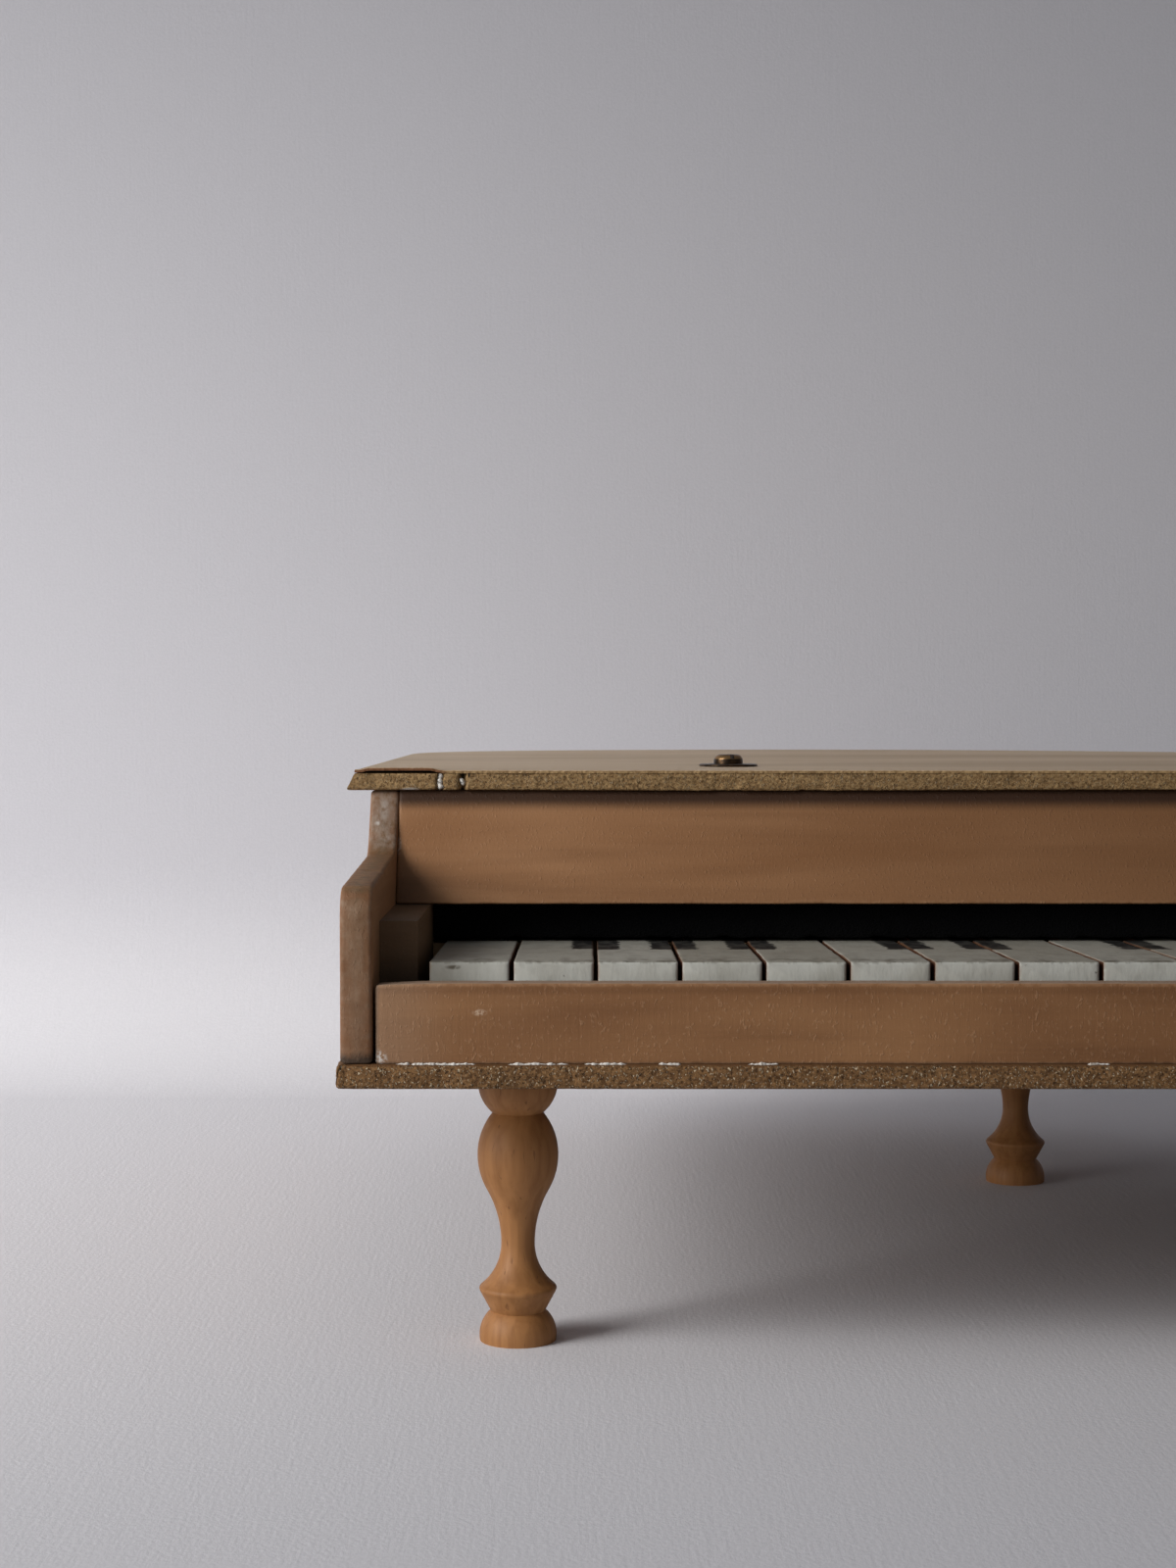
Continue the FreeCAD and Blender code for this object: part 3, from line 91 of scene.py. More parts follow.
camera = add_object("camera", bpy.data.cameras.new("camera"))
camera.data.sensor_width = SENSOR
camera.data.lens = SENSOR * FOCAL_LENGTH / PICTURE_HEIGHT
camera.location = CAMERA_PLACE
tilt = math.atan((PICTURE_HEIGHT / 2 - HORIZON) / FOCAL_LENGTH)
camera.rotation_euler = (math.pi / 2 - tilt, 0, 0)
scene.camera = camera
print(f"lens {camera.data.lens:.1f} mm, tilted down {math.degrees(tilt):.2f} degrees")

# %% [markdown]
# ## Writing a graph as sums
# A material is a graph of nodes, and so is a Geometry Nodes tree, and graphs are slow to read
# in a script. Wrapping a socket in a small class with its own plus, minus and times lets the
# script say `1 - mask` and get the Math nodes for it. Every other node comes from one method,
# which sets the node's options first and then feeds its sockets with numbers, colours or
# other sockets.

# %% Sockets and graphs
class Shade:
    """A value in a graph; sums with it add Math nodes."""

    def __init__(self, graph, socket):
        self.graph = graph
        self.socket = socket

    def __rsub__(self, other):
        return self.graph.node("ShaderNodeMath", {"operation": "SUBTRACT"}, (other, self))


def math_method(operation):
    """A method that adds the Math node for an operation."""
    return lambda *values: values[0].graph.node("ShaderNodeMath", {"operation": operation}, values)


for method, operation in {
        "__add__": "ADD", "__radd__": "ADD", "__sub__": "SUBTRACT", "__mul__": "MULTIPLY",
        "__rmul__": "MULTIPLY", "__truediv__": "DIVIDE", "__mod__": "FLOORED_MODULO",
        "__lt__": "LESS_THAN", "__abs__": "ABSOLUTE", "__round__": "ROUND",
        "least": "MINIMUM", "most": "MAXIMUM"}.items():
    setattr(Shade, method, math_method(operation))


class Graph:
    """A node tree that is put together one node at a time."""

    def node(self, kind, settings=(), values=(), out=0):
        made = self.tree.nodes.new(kind)
        for name, setting in dict(settings).items():
            setattr(made, name, setting)
        pairs = values.items() if isinstance(values, dict) else enumerate(values)
        for socket, value in pairs:
            self.feed(made.inputs[socket], value)
        return Shade(self, made.outputs[out])

    def feed(self, socket, value):
        if isinstance(value, Shade):
            self.tree.links.new(value.socket, socket)
        else:
            socket.default_value = value

    def vector(self, operation, *values, out=0):
        return self.node("ShaderNodeVectorMath", {"operation": operation}, values, out)

    def split(self, vector):
        parts = self.node("ShaderNodeSeparateXYZ", (), [vector]).socket.node.outputs
        return [Shade(self, part) for part in parts]


# %% [markdown]
# ## Finishes
# A finish is a material. It knows the place on the piece and which way the surface faces,
# and its colour is built up as a painter would: a ground of two tones, and then layers, each
# laid where a mask says. It can ask how much an edge has been rubbed: the pieces built below
# store that in an attribute of their points, and a solid without it counts as not rubbed.

# %% Colours
def paint(red, green, blue):
    """A colour given as on a paint chart, from 0 to 255, in the renderer's own scale."""
    shares = [part / 255 for part in (red, green, blue)]
    return (*[s / 12.92 if s <= 0.04045 else ((s + 0.055) / 1.055) ** 2.4 for s in shares], 1)


# %% Finishes
class Finish(Graph):
    """A material for one kind of surface."""

    def __init__(self, name, shine=0.5):
        self.material = bpy.data.materials.new(name)
        self.material.use_nodes = True
        self.tree = self.material.node_tree
        self.shader = self.tree.nodes["Principled BSDF"]
        self.shader.inputs["Specular IOR Level"].default_value = shine
        self.spot = self.node("ShaderNodeTexCoord", out="Object")
        self.x, self.y, self.z = self.split(self.spot)
        facing = self.node("ShaderNodeTexCoord", out="Normal")
        self.across, self.back, self.up = self.split(facing)
        self.rub = self.node("ShaderNodeAttribute", {"attribute_name": "rub"}, out="Fac")

    def noise(self, stretch, detail=3.0, rough=0.55, swirl=0.0, shift=0.0):
        """Noise with so many waves to the metre along x, y and z."""
        moved = {"Vector": self.spot, "Location": (shift, 2 * shift, 3 * shift), "Scale": stretch}
        waves = {"Vector": self.node("ShaderNodeMapping", (), moved), "Scale": 1.0,
                 "Detail": detail, "Roughness": rough, "Distortion": swirl}
        return self.node("ShaderNodeTexNoise", (), waves)

    def rise(self, value, low, high):
        """0 below low, 1 above high, and smooth between; low may be the larger one."""
        ends = {"Value": value, "From Min": low, "From Max": high}
        smooth = {"interpolation_type": "SMOOTHSTEP"}
        return self.node("ShaderNodeMapRange", smooth, ends, "Result")

    def blots(self, stretch, low, high, **waves):
        """Patches where a noise rises from low to high."""
        return self.rise(self.noise(stretch, **waves), low, high)

    def patch(self, centre, reach):
        """1 at a place and 0 beyond its reach along x, y and z."""
        away = self.vector("DIVIDE", self.vector("SUBTRACT", self.spot, centre), reach)
        return self.rise(self.vector("LENGTH", away, out="Value"), 1.0, 0.3)

    def mix(self, share, first, second):
        kind = {"data_type": "RGBA", "clamp_factor": True}
        return self.node("ShaderNodeMix", kind, {0: share, 6: first, 7: second}, 2)

    def ground(self, share, first, second):
        self.color = self.mix(share, first, second)

    def lay(self, mask, tone):
        self.color = self.mix(mask, self.color, tone)

    def set(self, rough, height=None, depth=0.001, metallic=0.0):
        """Feed the shader; height is relief in units of depth, in metres."""
        inputs = self.shader.inputs
        self.feed(inputs["Base Color"], self.color)
        self.feed(inputs["Roughness"], rough)
        self.feed(inputs["Metallic"], metallic)
        if height is not None:
            relief = {"Height": height, "Distance": depth, "Strength": 1.0}
            self.feed(inputs["Normal"], self.node("ShaderNodeBump", (), relief))
        print("finish:", self.material.name, "with", len(self.tree.nodes), "nodes")
        return self.material


def dress(material, *names):
    """Put a finish on solids that keep their own shape."""
    for name in names:
        solid = nodes[name].data
        solid.materials.clear()
        solid.materials.append(material)


# %% [markdown]
# ## Floor, wall and light
# The piano stands on a sheet of pale grey paper in front of a pale wall, and a window on the
# left lights both. One profile, swept sideways, makes floor and wall in one sheet with a soft
# bend between them, so no seam shows. A large area light stands for the window. It is far
# enough away for the wall to grow darker to the right, and so large that shadows have soft
# edges. A second, weaker one stands for the light that the room throws back from the front,
# and a weak grey sky fills the rest.

# %% Paper
BEND = 0.09

paper = Finish("pale_paper", shine=0.2)
tooth = paper.noise((900, 700, 900), detail=4)
brushed = paper.noise((700, 60, 60), detail=2, shift=3)
wall_tint = paper.mix(tooth, paint(196, 195, 200), paint(208, 207, 211))
floor_tint = paper.mix(tooth, paint(212, 211, 215), paint(224, 223, 226))
paper.ground(paper.rise(paper.z, 0.01, BEND), floor_tint, wall_tint)
paper_skin = paper.set(0.9, tooth + 0.5 * brushed, depth=0.0001)

# %% Paper sheet
WALL_BACK = 0.30
BEND_STEPS = 12
SHEET_HALF = 8.0
FLOOR_FRONT = -9.0
WALL_HEIGHT = 2.4


def stage_sheet(name, corners, faces):
    """A sheet of paper that is scenery and no part of the piano."""
    mesh = bpy.data.meshes.new(name)
    mesh.from_pydata(corners, [], faces)
    mesh.shade_smooth()
    mesh.materials.append(paper_skin)
    sheet = add_object(name, mesh)
    return sheet


profile = [(FLOOR_FRONT, 0.0)]
for step in range(BEND_STEPS + 1):
    turn = math.pi / 2 * step / BEND_STEPS
    profile.append((WALL_BACK - BEND + BEND * math.sin(turn), BEND - BEND * math.cos(turn)))
profile.append((WALL_BACK, WALL_HEIGHT))
corners = [(side, y, z) for y, z in profile for side in (-SHEET_HALF, SHEET_HALF)]
strips = [(2 * k, 2 * k + 1, 2 * k + 3, 2 * k + 2) for k in range(len(profile) - 1)]
paper_sheet = stage_sheet("paper_sheet", corners, strips)

# %% [markdown]
# A wall would hide the piano from anyone who walks round it. So the sheet is paper on its
# front only and clear on its back, it throws no shadow, and a plain ground carries on behind.

# %% One-sided sheet and ground
GROUND_DROP = 0.0006

one_sided = {0: paper.node("ShaderNodeNewGeometry", out="Backfacing"),
             1: Shade(paper, paper.shader.outputs["BSDF"]),
             2: paper.node("ShaderNodeBsdfTransparent")}
paper_front = paper.node("ShaderNodeMixShader", (), one_sided)
paper.feed(paper.tree.nodes["Material Output"].inputs["Surface"], paper_front)
paper_sheet.visible_shadow = False

plot = [(x, y, -GROUND_DROP) for y in (FLOOR_FRONT, SHEET_HALF) for x in (-SHEET_HALF, SHEET_HALF)]
stage_sheet("plain_ground", plot, [(0, 1, 3, 2)])

# %% Window light and sky
SKY_TINT = (0.90, 0.93, 1.0, 1)
SKY_STRENGTH = 0.19


def hang_lamp(name, place, aim, size, power, tint, spread):
    """A soft rectangular light that looks at a place."""
    light = bpy.data.lights.new(name, "AREA")
    light.shape = "RECTANGLE"
    light.size, light.size_y = size
    light.spread = math.radians(spread)
    light.energy = power
    light.color = tint
    lamp = add_object(name, light)
    lamp.location = place
    lamp.rotation_euler = (Vector(aim) - Vector(place)).to_track_quat("-Z", "Y").to_euler()
    print("lamp:", name, power, "W")


hang_lamp("window", place=(-1.35, -0.58, 0.58), aim=(-0.46, 0.12, -0.12), size=(0.98, 0.92),
          power=5.6, tint=(1.0, 0.985, 0.97), spread=74)
hang_lamp("room_bounce", place=(-1.0, -1.3, 0.34), aim=(0.1, 0.0, 0.03), size=(1.4, 0.6),
          power=0.9, tint=(1.0, 0.97, 0.95), spread=120)

sky = bpy.data.worlds.new("sky")
sky.use_nodes = True
sky_inputs = sky.node_tree.nodes["Background"].inputs
sky_inputs["Color"].default_value = SKY_TINT
sky_inputs["Strength"].default_value = SKY_STRENGTH
scene.world = sky

# %% [markdown]
# ## Making a piece
# A shape is first a loose bmesh or a mesh. To become a piece of the piano it needs a finish,
# an object at the origin, and a body to ride on, and the solid it stands for is hidden. All
# of that is the same for every piece, so it is one function. Roughness in a shape comes from
# a smooth noise that gives the same value at the same place each time.

# %% Pieces
NEAR = 2e-6


def as_mesh(shape, name):
    """A loose shape as a mesh; the shape itself is used up."""
    mesh = bpy.data.meshes.new(name)
    shape.to_mesh(mesh)
    shape.free()
    return mesh


def finish_piece(shape, name, material, body="case", replaced=None, smooth=True):
    """Turn a bmesh or mesh into a piece of the piano that rides on a body."""
    if isinstance(shape, bmesh.types.BMesh):
        bmesh.ops.remove_doubles(shape, verts=shape.verts, dist=NEAR)
        shape = as_mesh(shape, name)
    if smooth:
        shape.shade_smooth()
    shape.materials.clear()
    shape.materials.append(material)
    piece = add_object(name, shape)
    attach(piece, body)
    if replaced:
        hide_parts(replaced)
    print("piece:", name, "with", len(shape.polygons), "faces")
    return piece


# %% Smooth noise
FRACTAL = (0.7, 2.1, 3)


def rumple(spot, scale, seed):
    """Smooth noise, about 0 to 1, at a place."""
    return 0.5 + 0.5 * noise.fractal(Vector(spot) * scale + Vector((seed, 0, 0)), *FRACTAL)


def within(value, low, high):
    return min(max(value, low), high)


def ease(share):
    """0 below 0, 1 above 1, and smooth between."""
    share = within(share, 0.0, 1.0)
    return share * share * (3 - 2 * share)


# %% [markdown]
# ## Stained case wood
# The case is soft pale wood, wiped with brown stain and rubbed thin by years of hands. The
# grain always lies level, along a board or round the bent rim, so one noise that is long in
# x and y and short in z gives it on every board. Slow clouds, bands and hair-fine fibres are
# three such noises of different size. Real boards are paler where they are touched and dirty
# where they meet, and each board adds those places itself.

# %% A stained board
STAIN_STREAK = paint(98, 62, 34)
BARE_WOOD = paint(196, 158, 122)
WHITE_SCUFF = paint(222, 218, 212)
DIRT_AND_SHADE = paint(40, 34, 27)


class StainedWood(Finish):
    """Level grain under a thin brown stain."""

    def __init__(self, name, light, dark, shift, fleck=0.12):
        super().__init__(name, shine=0.3)
        clouds = self.noise((10, 10, 38), rough=0.5, swirl=0.5, shift=shift)
        self.bands = self.noise((6, 6, 140), detail=4, swirl=0.6, shift=shift + 1)
        self.fibres = self.noise((45, 45, 1300), detail=2, shift=shift + 2)
        self.brushed = self.noise((1500, 1500, 90), detail=2, shift=shift + 4)
        specks = {"detail": 2, "swirl": 0.2, "shift": shift + 5}
        self.flecks = self.blots((1500, 1500, 1000), 0.55, 0.75, **specks)
        self.scrapes = self.noise((420, 420, 420), detail=4, shift=shift + 6)
        self.ground(self.rise(clouds, 0.22, 0.78), light, dark)
        self.lay(self.rise(self.bands, 0.45, 0.8) * 0.36, STAIN_STREAK)
        self.lay(self.rise(self.fibres, 0.4, 0.8) * 0.10, light)
        self.lay(self.flecks * fleck, BARE_WOOD)

    def rub_edges(self, tone, share):
        self.lay(self.rub * self.rise(self.scrapes, 0.30, 0.62) * share, tone)

    def dirty_joint(self, height, reach, share):
        """Dirt on both sides of a level joint."""
        away = abs(self.z - height) + (self.scrapes - 0.5) * reach
        self.lay(self.rise(away, reach, reach * 0.2) * share, DIRT_AND_SHADE)

    def done(self):
        rough = 0.52 + 0.14 * self.fibres
        relief = 0.4 * self.fibres + 0.3 * self.bands + 0.3 * self.brushed + 0.35 * self.flecks
        return self.set(rough, relief, depth=0.00018)


# %% [markdown]
# The fallboard grows browner to the right. Its band just under the lid and its two lower
# corners are darkened with painted shade, where the lid and the arms shade it. The key slip is
# worn grey on top, with a pale dent and a white smear near its left end. It stands a hair higher
# than its solid.

# %% Fallboard and key slip stain
PAINTED_SHADE_BROWN = paint(42, 22, 10)
WORN_GREY = paint(158, 138, 120)
PALE_DENT = paint(206, 180, 154)
FALL_CHIPS = ((-0.1863, -0.108, 0.1168), (0.0010, 0.006, 0.0030))
SLIP_DENT = ((-0.1622, -0.1831, 0.0834), (0.0021, 0.002, 0.0010))
SLIP_SMEAR = ((-0.1850, -0.1831, 0.0722), (0.0024, 0.003, 0.0034))
SLIP_RAISE = 0.0006
STREAK_BELOW = 0.0016

base_low, base_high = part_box("base_board")
case_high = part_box("left_side")[1].z

fall = StainedWood("stained_fallboard", paint(169, 125, 87), paint(139, 96, 60), 5.0, fleck=0.06)
fall.lay(fall.rise(fall.x, -0.185, 0.02) * 0.65, paint(110, 73, 42))
fall.rub_edges(BARE_WOOD, 0.15)
# Painted shade: a dark band just under the lid, and darker lower corners below the arms.
fall.lay(fall.rise(fall.z, case_high - 0.0058, case_high - 0.0022) * 0.92, PAINTED_SHADE_BROWN)
painted_corner_shade = fall.rise(abs(fall.x), 0.170, 0.186) * fall.rise(fall.z, 0.116, 0.104)
fall.lay(painted_corner_shade * 0.6, PAINTED_SHADE_BROWN)
fall.lay(fall.patch(*FALL_CHIPS) * fall.rise(fall.scrapes, 0.42, 0.58) * 0.4, WHITE_SCUFF)
fall_skin = fall.done()

slip_low, slip_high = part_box("key_slip")
slip_top = slip_high.z + SLIP_RAISE
slip = StainedWood("stained_key_slip", paint(156, 113, 74), paint(125, 85, 52), 11.0, fleck=0.22)
slip.lay(slip.rise(abs(slip.z - slip_top + STREAK_BELOW), 0.0014, 0.0003) * 0.28, STAIN_STREAK)
slip.lay(slip.rise(slip.x, -0.165, -0.186) * 0.25, WORN_GREY)
slip.lay(slip.rise(slip.up, 0.6, 0.9) * 0.6, WORN_GREY)
slip.rub_edges(BARE_WOOD, 0.22)
chalky = slip.noise((1300, 1300, 1300), shift=41.0)
slip.lay(slip.patch(*SLIP_DENT) * slip.rise(chalky, 0.36, 0.56) * 0.7, PALE_DENT)
slip.lay(slip.patch(*SLIP_SMEAR) * slip.rise(chalky, 0.42, 0.60) * 0.8, WHITE_SCUFF)
slip.dirty_joint(base_high.z, 0.0008, 0.5)
slip.lay(slip.rise(abs(slip.x), 0.1848, 0.1859) * 0.8, DIRT_AND_SHADE)
slip_skin = slip.done()

# %% [markdown]
# Hands have rubbed the stain off the narrow front edges of the two side boards and left them
# grey and dusty, with brown noses. Whitish scuffs lie on the slanted edge at the left, and
# greenish dirt has gathered where the boards stand on the base.

# %% Sides, rim and key blocks
NOSE_HIGH = 0.1098
SCUFFS = (((-0.1920, -0.11, 0.1227), (0.0010, 0.03, 0.0013), 0.6),
          ((-0.1903, -0.11, 0.1262), (0.0018, 0.03, 0.0036), 0.22),
          ((-0.1893, -0.11, 0.1192), (0.0014, 0.03, 0.0016), 0.18))

sides = StainedWood("stained_sides", paint(162, 119, 83), paint(136, 95, 62), 17.0)
front = sides.rise(sides.back, -0.30, -0.75)
end_grain = sides.noise((520, 520, 190), detail=4, rough=0.6, shift=31.0)
worn_front = sides.mix(sides.rise(end_grain, 0.3, 0.7), paint(120, 93, 69), paint(140, 118, 97))
worn_front = sides.mix(sides.rise(sides.z, 0.098, 0.078) * 0.5, worn_front, paint(116, 84, 60))
mottled = sides.blots((1600, 1600, 900), 0.35, 0.65, rough=0.7, shift=35.0)
worn_front = sides.mix(mottled * 0.3, worn_front, paint(96, 72, 52))
sides.lay(front * 0.8, worn_front)
sides.lay(front * sides.rise(end_grain, 0.40, 0.28) * 0.3, paint(80, 60, 42))
level = sides.rise(sides.up, 0.3, 0.85)
sides.lay(level * (0.55 + 0.35 * sides.rise(sides.scrapes, 0.4, 0.6)), paint(98, 79, 56))
dusty = front * sides.rise(sides.z, 0.110, 0.117) * sides.rise(end_grain, 0.3, 0.6)
sides.lay(dusty * 0.45, paint(160, 146, 134))
from_nose = abs(sides.z - NOSE_HIGH) + (sides.scrapes - 0.5) * 0.002
sides.lay(sides.rise(from_nose, 0.0013, 0.0003) * front.most(level) * 0.45, paint(132, 88, 58))
sides.rub_edges(paint(124, 82, 50), 0.6)
for centre, reach, share in SCUFFS:
    scuffed = sides.patch(centre, reach) * sides.rise(sides.scrapes, 0.36, 0.60)
    sides.lay(scuffed * share, WHITE_SCUFF)
sides.dirty_joint(base_high.z, 0.0034, 0.8)
sides.dirty_joint(case_high, 0.0010, 0.5)
side_skin = sides.done()
dress(side_skin, "bentside")

blocks = StainedWood("stained_key_blocks", paint(142, 110, 78), paint(100, 74, 48), 23.0)
# Dirt darkens the key blocks all over; their tops are darkened further as painted shade.
blocks.lay(0.25 + 0.3 * blocks.rise(blocks.up, 0.5, 0.9), DIRT_AND_SHADE)
smears = blocks.blots((150, 150, 110), 0.42, 0.62, shift=3.0)
blocks.lay(smears * 0.4, paint(112, 88, 64))
blocks.lay(blocks.rise(blocks.z, 0.097, 0.088) * 0.55, paint(46, 45, 38))
dress(blocks.done(), "left_key_block", "right_key_block")

# %% [markdown]
# ## Planks with rubbed edges
# Key slip and fallboard are plain planks whose corners have been rubbed round, more in some
# places than in others. A Bevel modifier would round them all alike. Here a plank is a row of
# cross-sections along x. At each one every corner is a short curve with its own radius, and a
# pair of points just beside the curve keeps the flat faces flat in the light.

# %% Planks
PLANK_STEP = 0.0016
TIP_ROUND = 0.0007
TIP_STEPS = (0.0, 0.00015, 0.0004, 0.0008)
SUPPORT = 0.0004
CURVE = (0.0, 0.33, 0.67, 1.0)


def tip_inset(reach):
    """How far a section draws in, so near an end of the plank."""
    share = max(0.0, 1 - reach / TIP_ROUND)
    return TIP_ROUND * (1 - math.sqrt(1 - share * share))


def skin_rings(shape, rings):
    """Faces between rings of points, and one face on each end."""
    count = len(rings[0])
    for under, over in zip(rings, rings[1:]):
        for k in range(count):
            after = (k + 1) % count
            shape.faces.new((under[k], under[after], over[after], over[k]))
    shape.faces.new(rings[0][::-1])
    shape.faces.new(rings[-1])


def worn_plank(low, high, section, radius, axis=0):
    """Plank along an axis: section(t) gives its corners, radius(t, k) how round each one is."""
    first, second = (axis + 1) % 3, (axis + 2) % 3
    inner = high - low - 2 * TIP_STEPS[-1]
    count = round(inner / PLANK_STEP)
    places = [low + tip for tip in TIP_STEPS]
    places += [low + TIP_STEPS[-1] + inner * k / count for k in range(1, count)]
    places += [high - tip for tip in reversed(TIP_STEPS)]
    board = bmesh.new()
    rub = board.verts.layers.float.new("rub")
    rings = []
    for place in places:
        tip = tip_inset(min(place - low, high - place))
        corners = [Vector(corner) for corner in section(place)]
        ring = []
        for k, corner in enumerate(corners):
            before = (corners[k - 1] - corner).normalized()
            after = (corners[(k + 1) % len(corners)] - corner).normalized()
            turn = radius(place, k)
            middle = corner + (before + after) * tip
            curve = [middle + before * turn * (1 - t) ** 2 + after * turn * t ** 2 for t in CURVE]
            curve = [middle + before * (turn + SUPPORT), *curve, middle + after * (turn + SUPPORT)]
            for number, spot in enumerate(curve):
                point = board.verts.new()
                point.co[first], point.co[second], point.co[axis] = spot.x, spot.y, place
                point[rub] = 1.0 if 0 < number < len(curve) - 1 or tip > 0 else 0.0
                ring.append(point)
        rings.append(ring)
    skin_rings(board, rings)
    return board


# %% Key slip
SLIP_WORN = 0.0005
SLIP_WORN_REACH = 0.013
SLIP_WAVE = 0.00012
SLIP_FOOT_ROUND = 0.0003
SLIP_TOP_ROUND = 0.00035


def slip_section(x):
    lost = SLIP_WORN * max(0.0, 1 - (x - slip_low.x) / SLIP_WORN_REACH) ** 1.5
    top = slip_top - lost - SLIP_WAVE * rumple((x, 0, 0), 60, 4.0)
    near, far = slip_low.y, slip_high.y
    return [(near, slip_low.z), (far, slip_low.z), (far, top), (near, top)]


def slip_radius(x, corner):
    if corner < 2:
        return SLIP_FOOT_ROUND
    return SLIP_TOP_ROUND + SLIP_TOP_ROUND * rumple((x, corner, 0), 70, 2.0)


slip_plank = worn_plank(slip_low.x, slip_high.x, slip_section, slip_radius)
finish_piece(slip_plank, "worn_key_slip", slip_skin, replaced="key_slip")

# %% Fallboard
FALL_WAVE = 0.0002
FALL_SHARP_ROUND = 0.0004
FALL_WORN_ROUND = 0.0005

fall_low, fall_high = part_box("fallboard")
fall_points = [point.co for point in nodes["fallboard"].data.vertices]
foot = [spot.y for spot in fall_points if spot.z < fall_low.z + 1e-5]
fall_depth = max(foot) - min(foot)


def fall_section(x):
    low = fall_low.z + FALL_WAVE * rumple((x, 0, 0), 45, 9.0)
    return [(fall_low.y, low), (fall_low.y + fall_depth, low),
            (fall_high.y, fall_high.z), (fall_high.y - fall_depth, fall_high.z)]


def fall_radius(x, corner):
    if corner:
        return FALL_SHARP_ROUND
    return FALL_WORN_ROUND + FALL_WORN_ROUND * rumple((x, 0, 0), 70, 6.0)


fall_plank = worn_plank(fall_low.x, fall_high.x, fall_section, fall_radius)
finish_piece(fall_plank, "worn_fallboard", fall_skin, replaced="fallboard")

# %% [markdown]
# ## The outline of a board
# A worn or rough board has the outline of its solid, so the outline is read from the solid: a
# copy is cut through the middle, and the edges of the cut are walked round in order. A finer
# copy of that line, with points about half a millimetre apart, is what the edge is built on.
# A board could also be subdivided and displaced as a whole, but then most of the points would
# lie on the faces, where nothing happens.

# %% Outline helpers
WELD = 1e-6


def loose_copy(name):
    """A welded copy of a solid, to work on."""
    copy = bmesh.new()
    copy.from_mesh(nodes[name].data)
    bmesh.ops.remove_doubles(copy, verts=copy.verts, dist=WELD)
    return copy


def cut_through(shape, spot, way, **keep):
    """Cut a shape along the plane through a spot; gives the new points and edges."""
    parts = shape.verts[:] + shape.edges[:] + shape.faces[:]
    plane = {"dist": 1e-7, "plane_co": spot, "plane_no": way}
    return bmesh.ops.bisect_plane(shape, geom=parts, **plane, **keep)["geom_cut"]


def length_of(loop):
    return sum((b - a).length for a, b in zip(loop, loop[1:] + loop[:1]))


def outline_of(name, axis):
    """Points round the middle of a board, against the clock seen against the axis."""
    low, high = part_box(name)
    solid = loose_copy(name)
    way = Vector()
    way[axis] = 1.0
    cut = cut_through(solid, (low + high) / 2, way)
    border = [part for part in cut if isinstance(part, bmesh.types.BMEdge)]
    loops = []
    while border:
        loop = list(border.pop().verts)
        while loop[-1] is not loop[0]:
            link = next(edge for edge in loop[-1].link_edges if edge in border)
            border.remove(link)
            loop.append(link.other_vert(loop[-1]))
        loops.append([Vector((p.co[(axis + 1) % 3], p.co[(axis + 2) % 3])) for p in loop[:-1]])
    solid.free()
    longest = max(loops, key=length_of)
    area = sum(a.cross(b) for a, b in zip(longest, longest[1:] + longest[:1]))
    return longest if area > 0 else longest[::-1]


def even_points(loop, step):
    """The same line with points a step apart."""
    count = round(length_of(loop) / step)
    gap = length_of(loop) / count
    points, spare = [], 0.0
    for a, b in zip(loop, loop[1:] + loop[:1]):
        run = (b - a).length
        while spare < run - 1e-9 and len(points) < count:
            points.append(a.lerp(b, spare / run))
            spare += gap
        spare -= run
    return points


def inward(points):
    """For each point, the direction into the board."""
    count = len(points)
    ways = []
    for k in range(count):
        along = (points[(k + 1) % count] - points[k - 1]).normalized()
        ways.append(Vector((-along.y, along.x)))
    return ways


# %% [markdown]
# ## A board with a rough edge
# The edge is a stack of rings. Each ring has a height and stands a little further in or out,
# and a function of the place adds the roughness, always inwards, so a board outgrows its
# solid only where its outline is bent on purpose. Where two sides meet at a corner, a ring
# that moves in would cross itself, so its points are held inside a smaller box. The points
# between the flat faces and the edge count as rubbed.

# %% Rough boards
EDGE_STEP = 0.0006
RUB_INSET = 0.002


def rough_board(name, rings, wear, shift=None, axis=2, bend=None):
    """Board over the outline of a solid: rings are pairs of height along the axis and inset."""
    first, second = (axis + 1) % 3, (axis + 2) % 3
    points = even_points(outline_of(name, axis), EDGE_STEP)
    if bend:
        points = [bend(spot) for spot in points]
    ways = inward(points)
    low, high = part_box(name)
    board = bmesh.new()
    rub = board.verts.layers.float.new("rub")
    stack = []
    for height, inset in rings:
        ring = []
        for spot, way in zip(points, ways):
            depth = inset + wear(spot, height, inset)
            spot = spot + way * depth
            point = board.verts.new()
            point.co[first] = within(spot.x, low[first] + depth, high[first] - depth)
            point.co[second] = within(spot.y, low[second] + depth, high[second] - depth)
            point.co[axis] = height
            if shift:
                point.co = shift(point.co)
            point[rub] = 1.0 if 0 < inset < RUB_INSET else 0.0
            ring.append(point)
        stack.append(ring)
    skin_rings(board, stack)
    return board


# %% [markdown]
# ## Side boards
# Each side board ends in an arm with a rounded nose at the front and a slanted edge above it.
# On the real piano they make one long sweep, and the arm lies a little higher than on the
# solids, so the outline is bent first. These edges are the ones that hands and floors have
# worn. The board is a stack of rings across its thickness, from its left face to its right.

# %% Bent outline of a side board
ARM_START = 0.1048
ARM_ROUND = 0.006
ARM_LIFT = 0.0014
NOSE_BACK = -0.1774
COVE_BACK = -0.1149
COVE_HIGH = 0.1138
RAKE_TOP = -0.1008
RAKE_FORWARD = 0.002


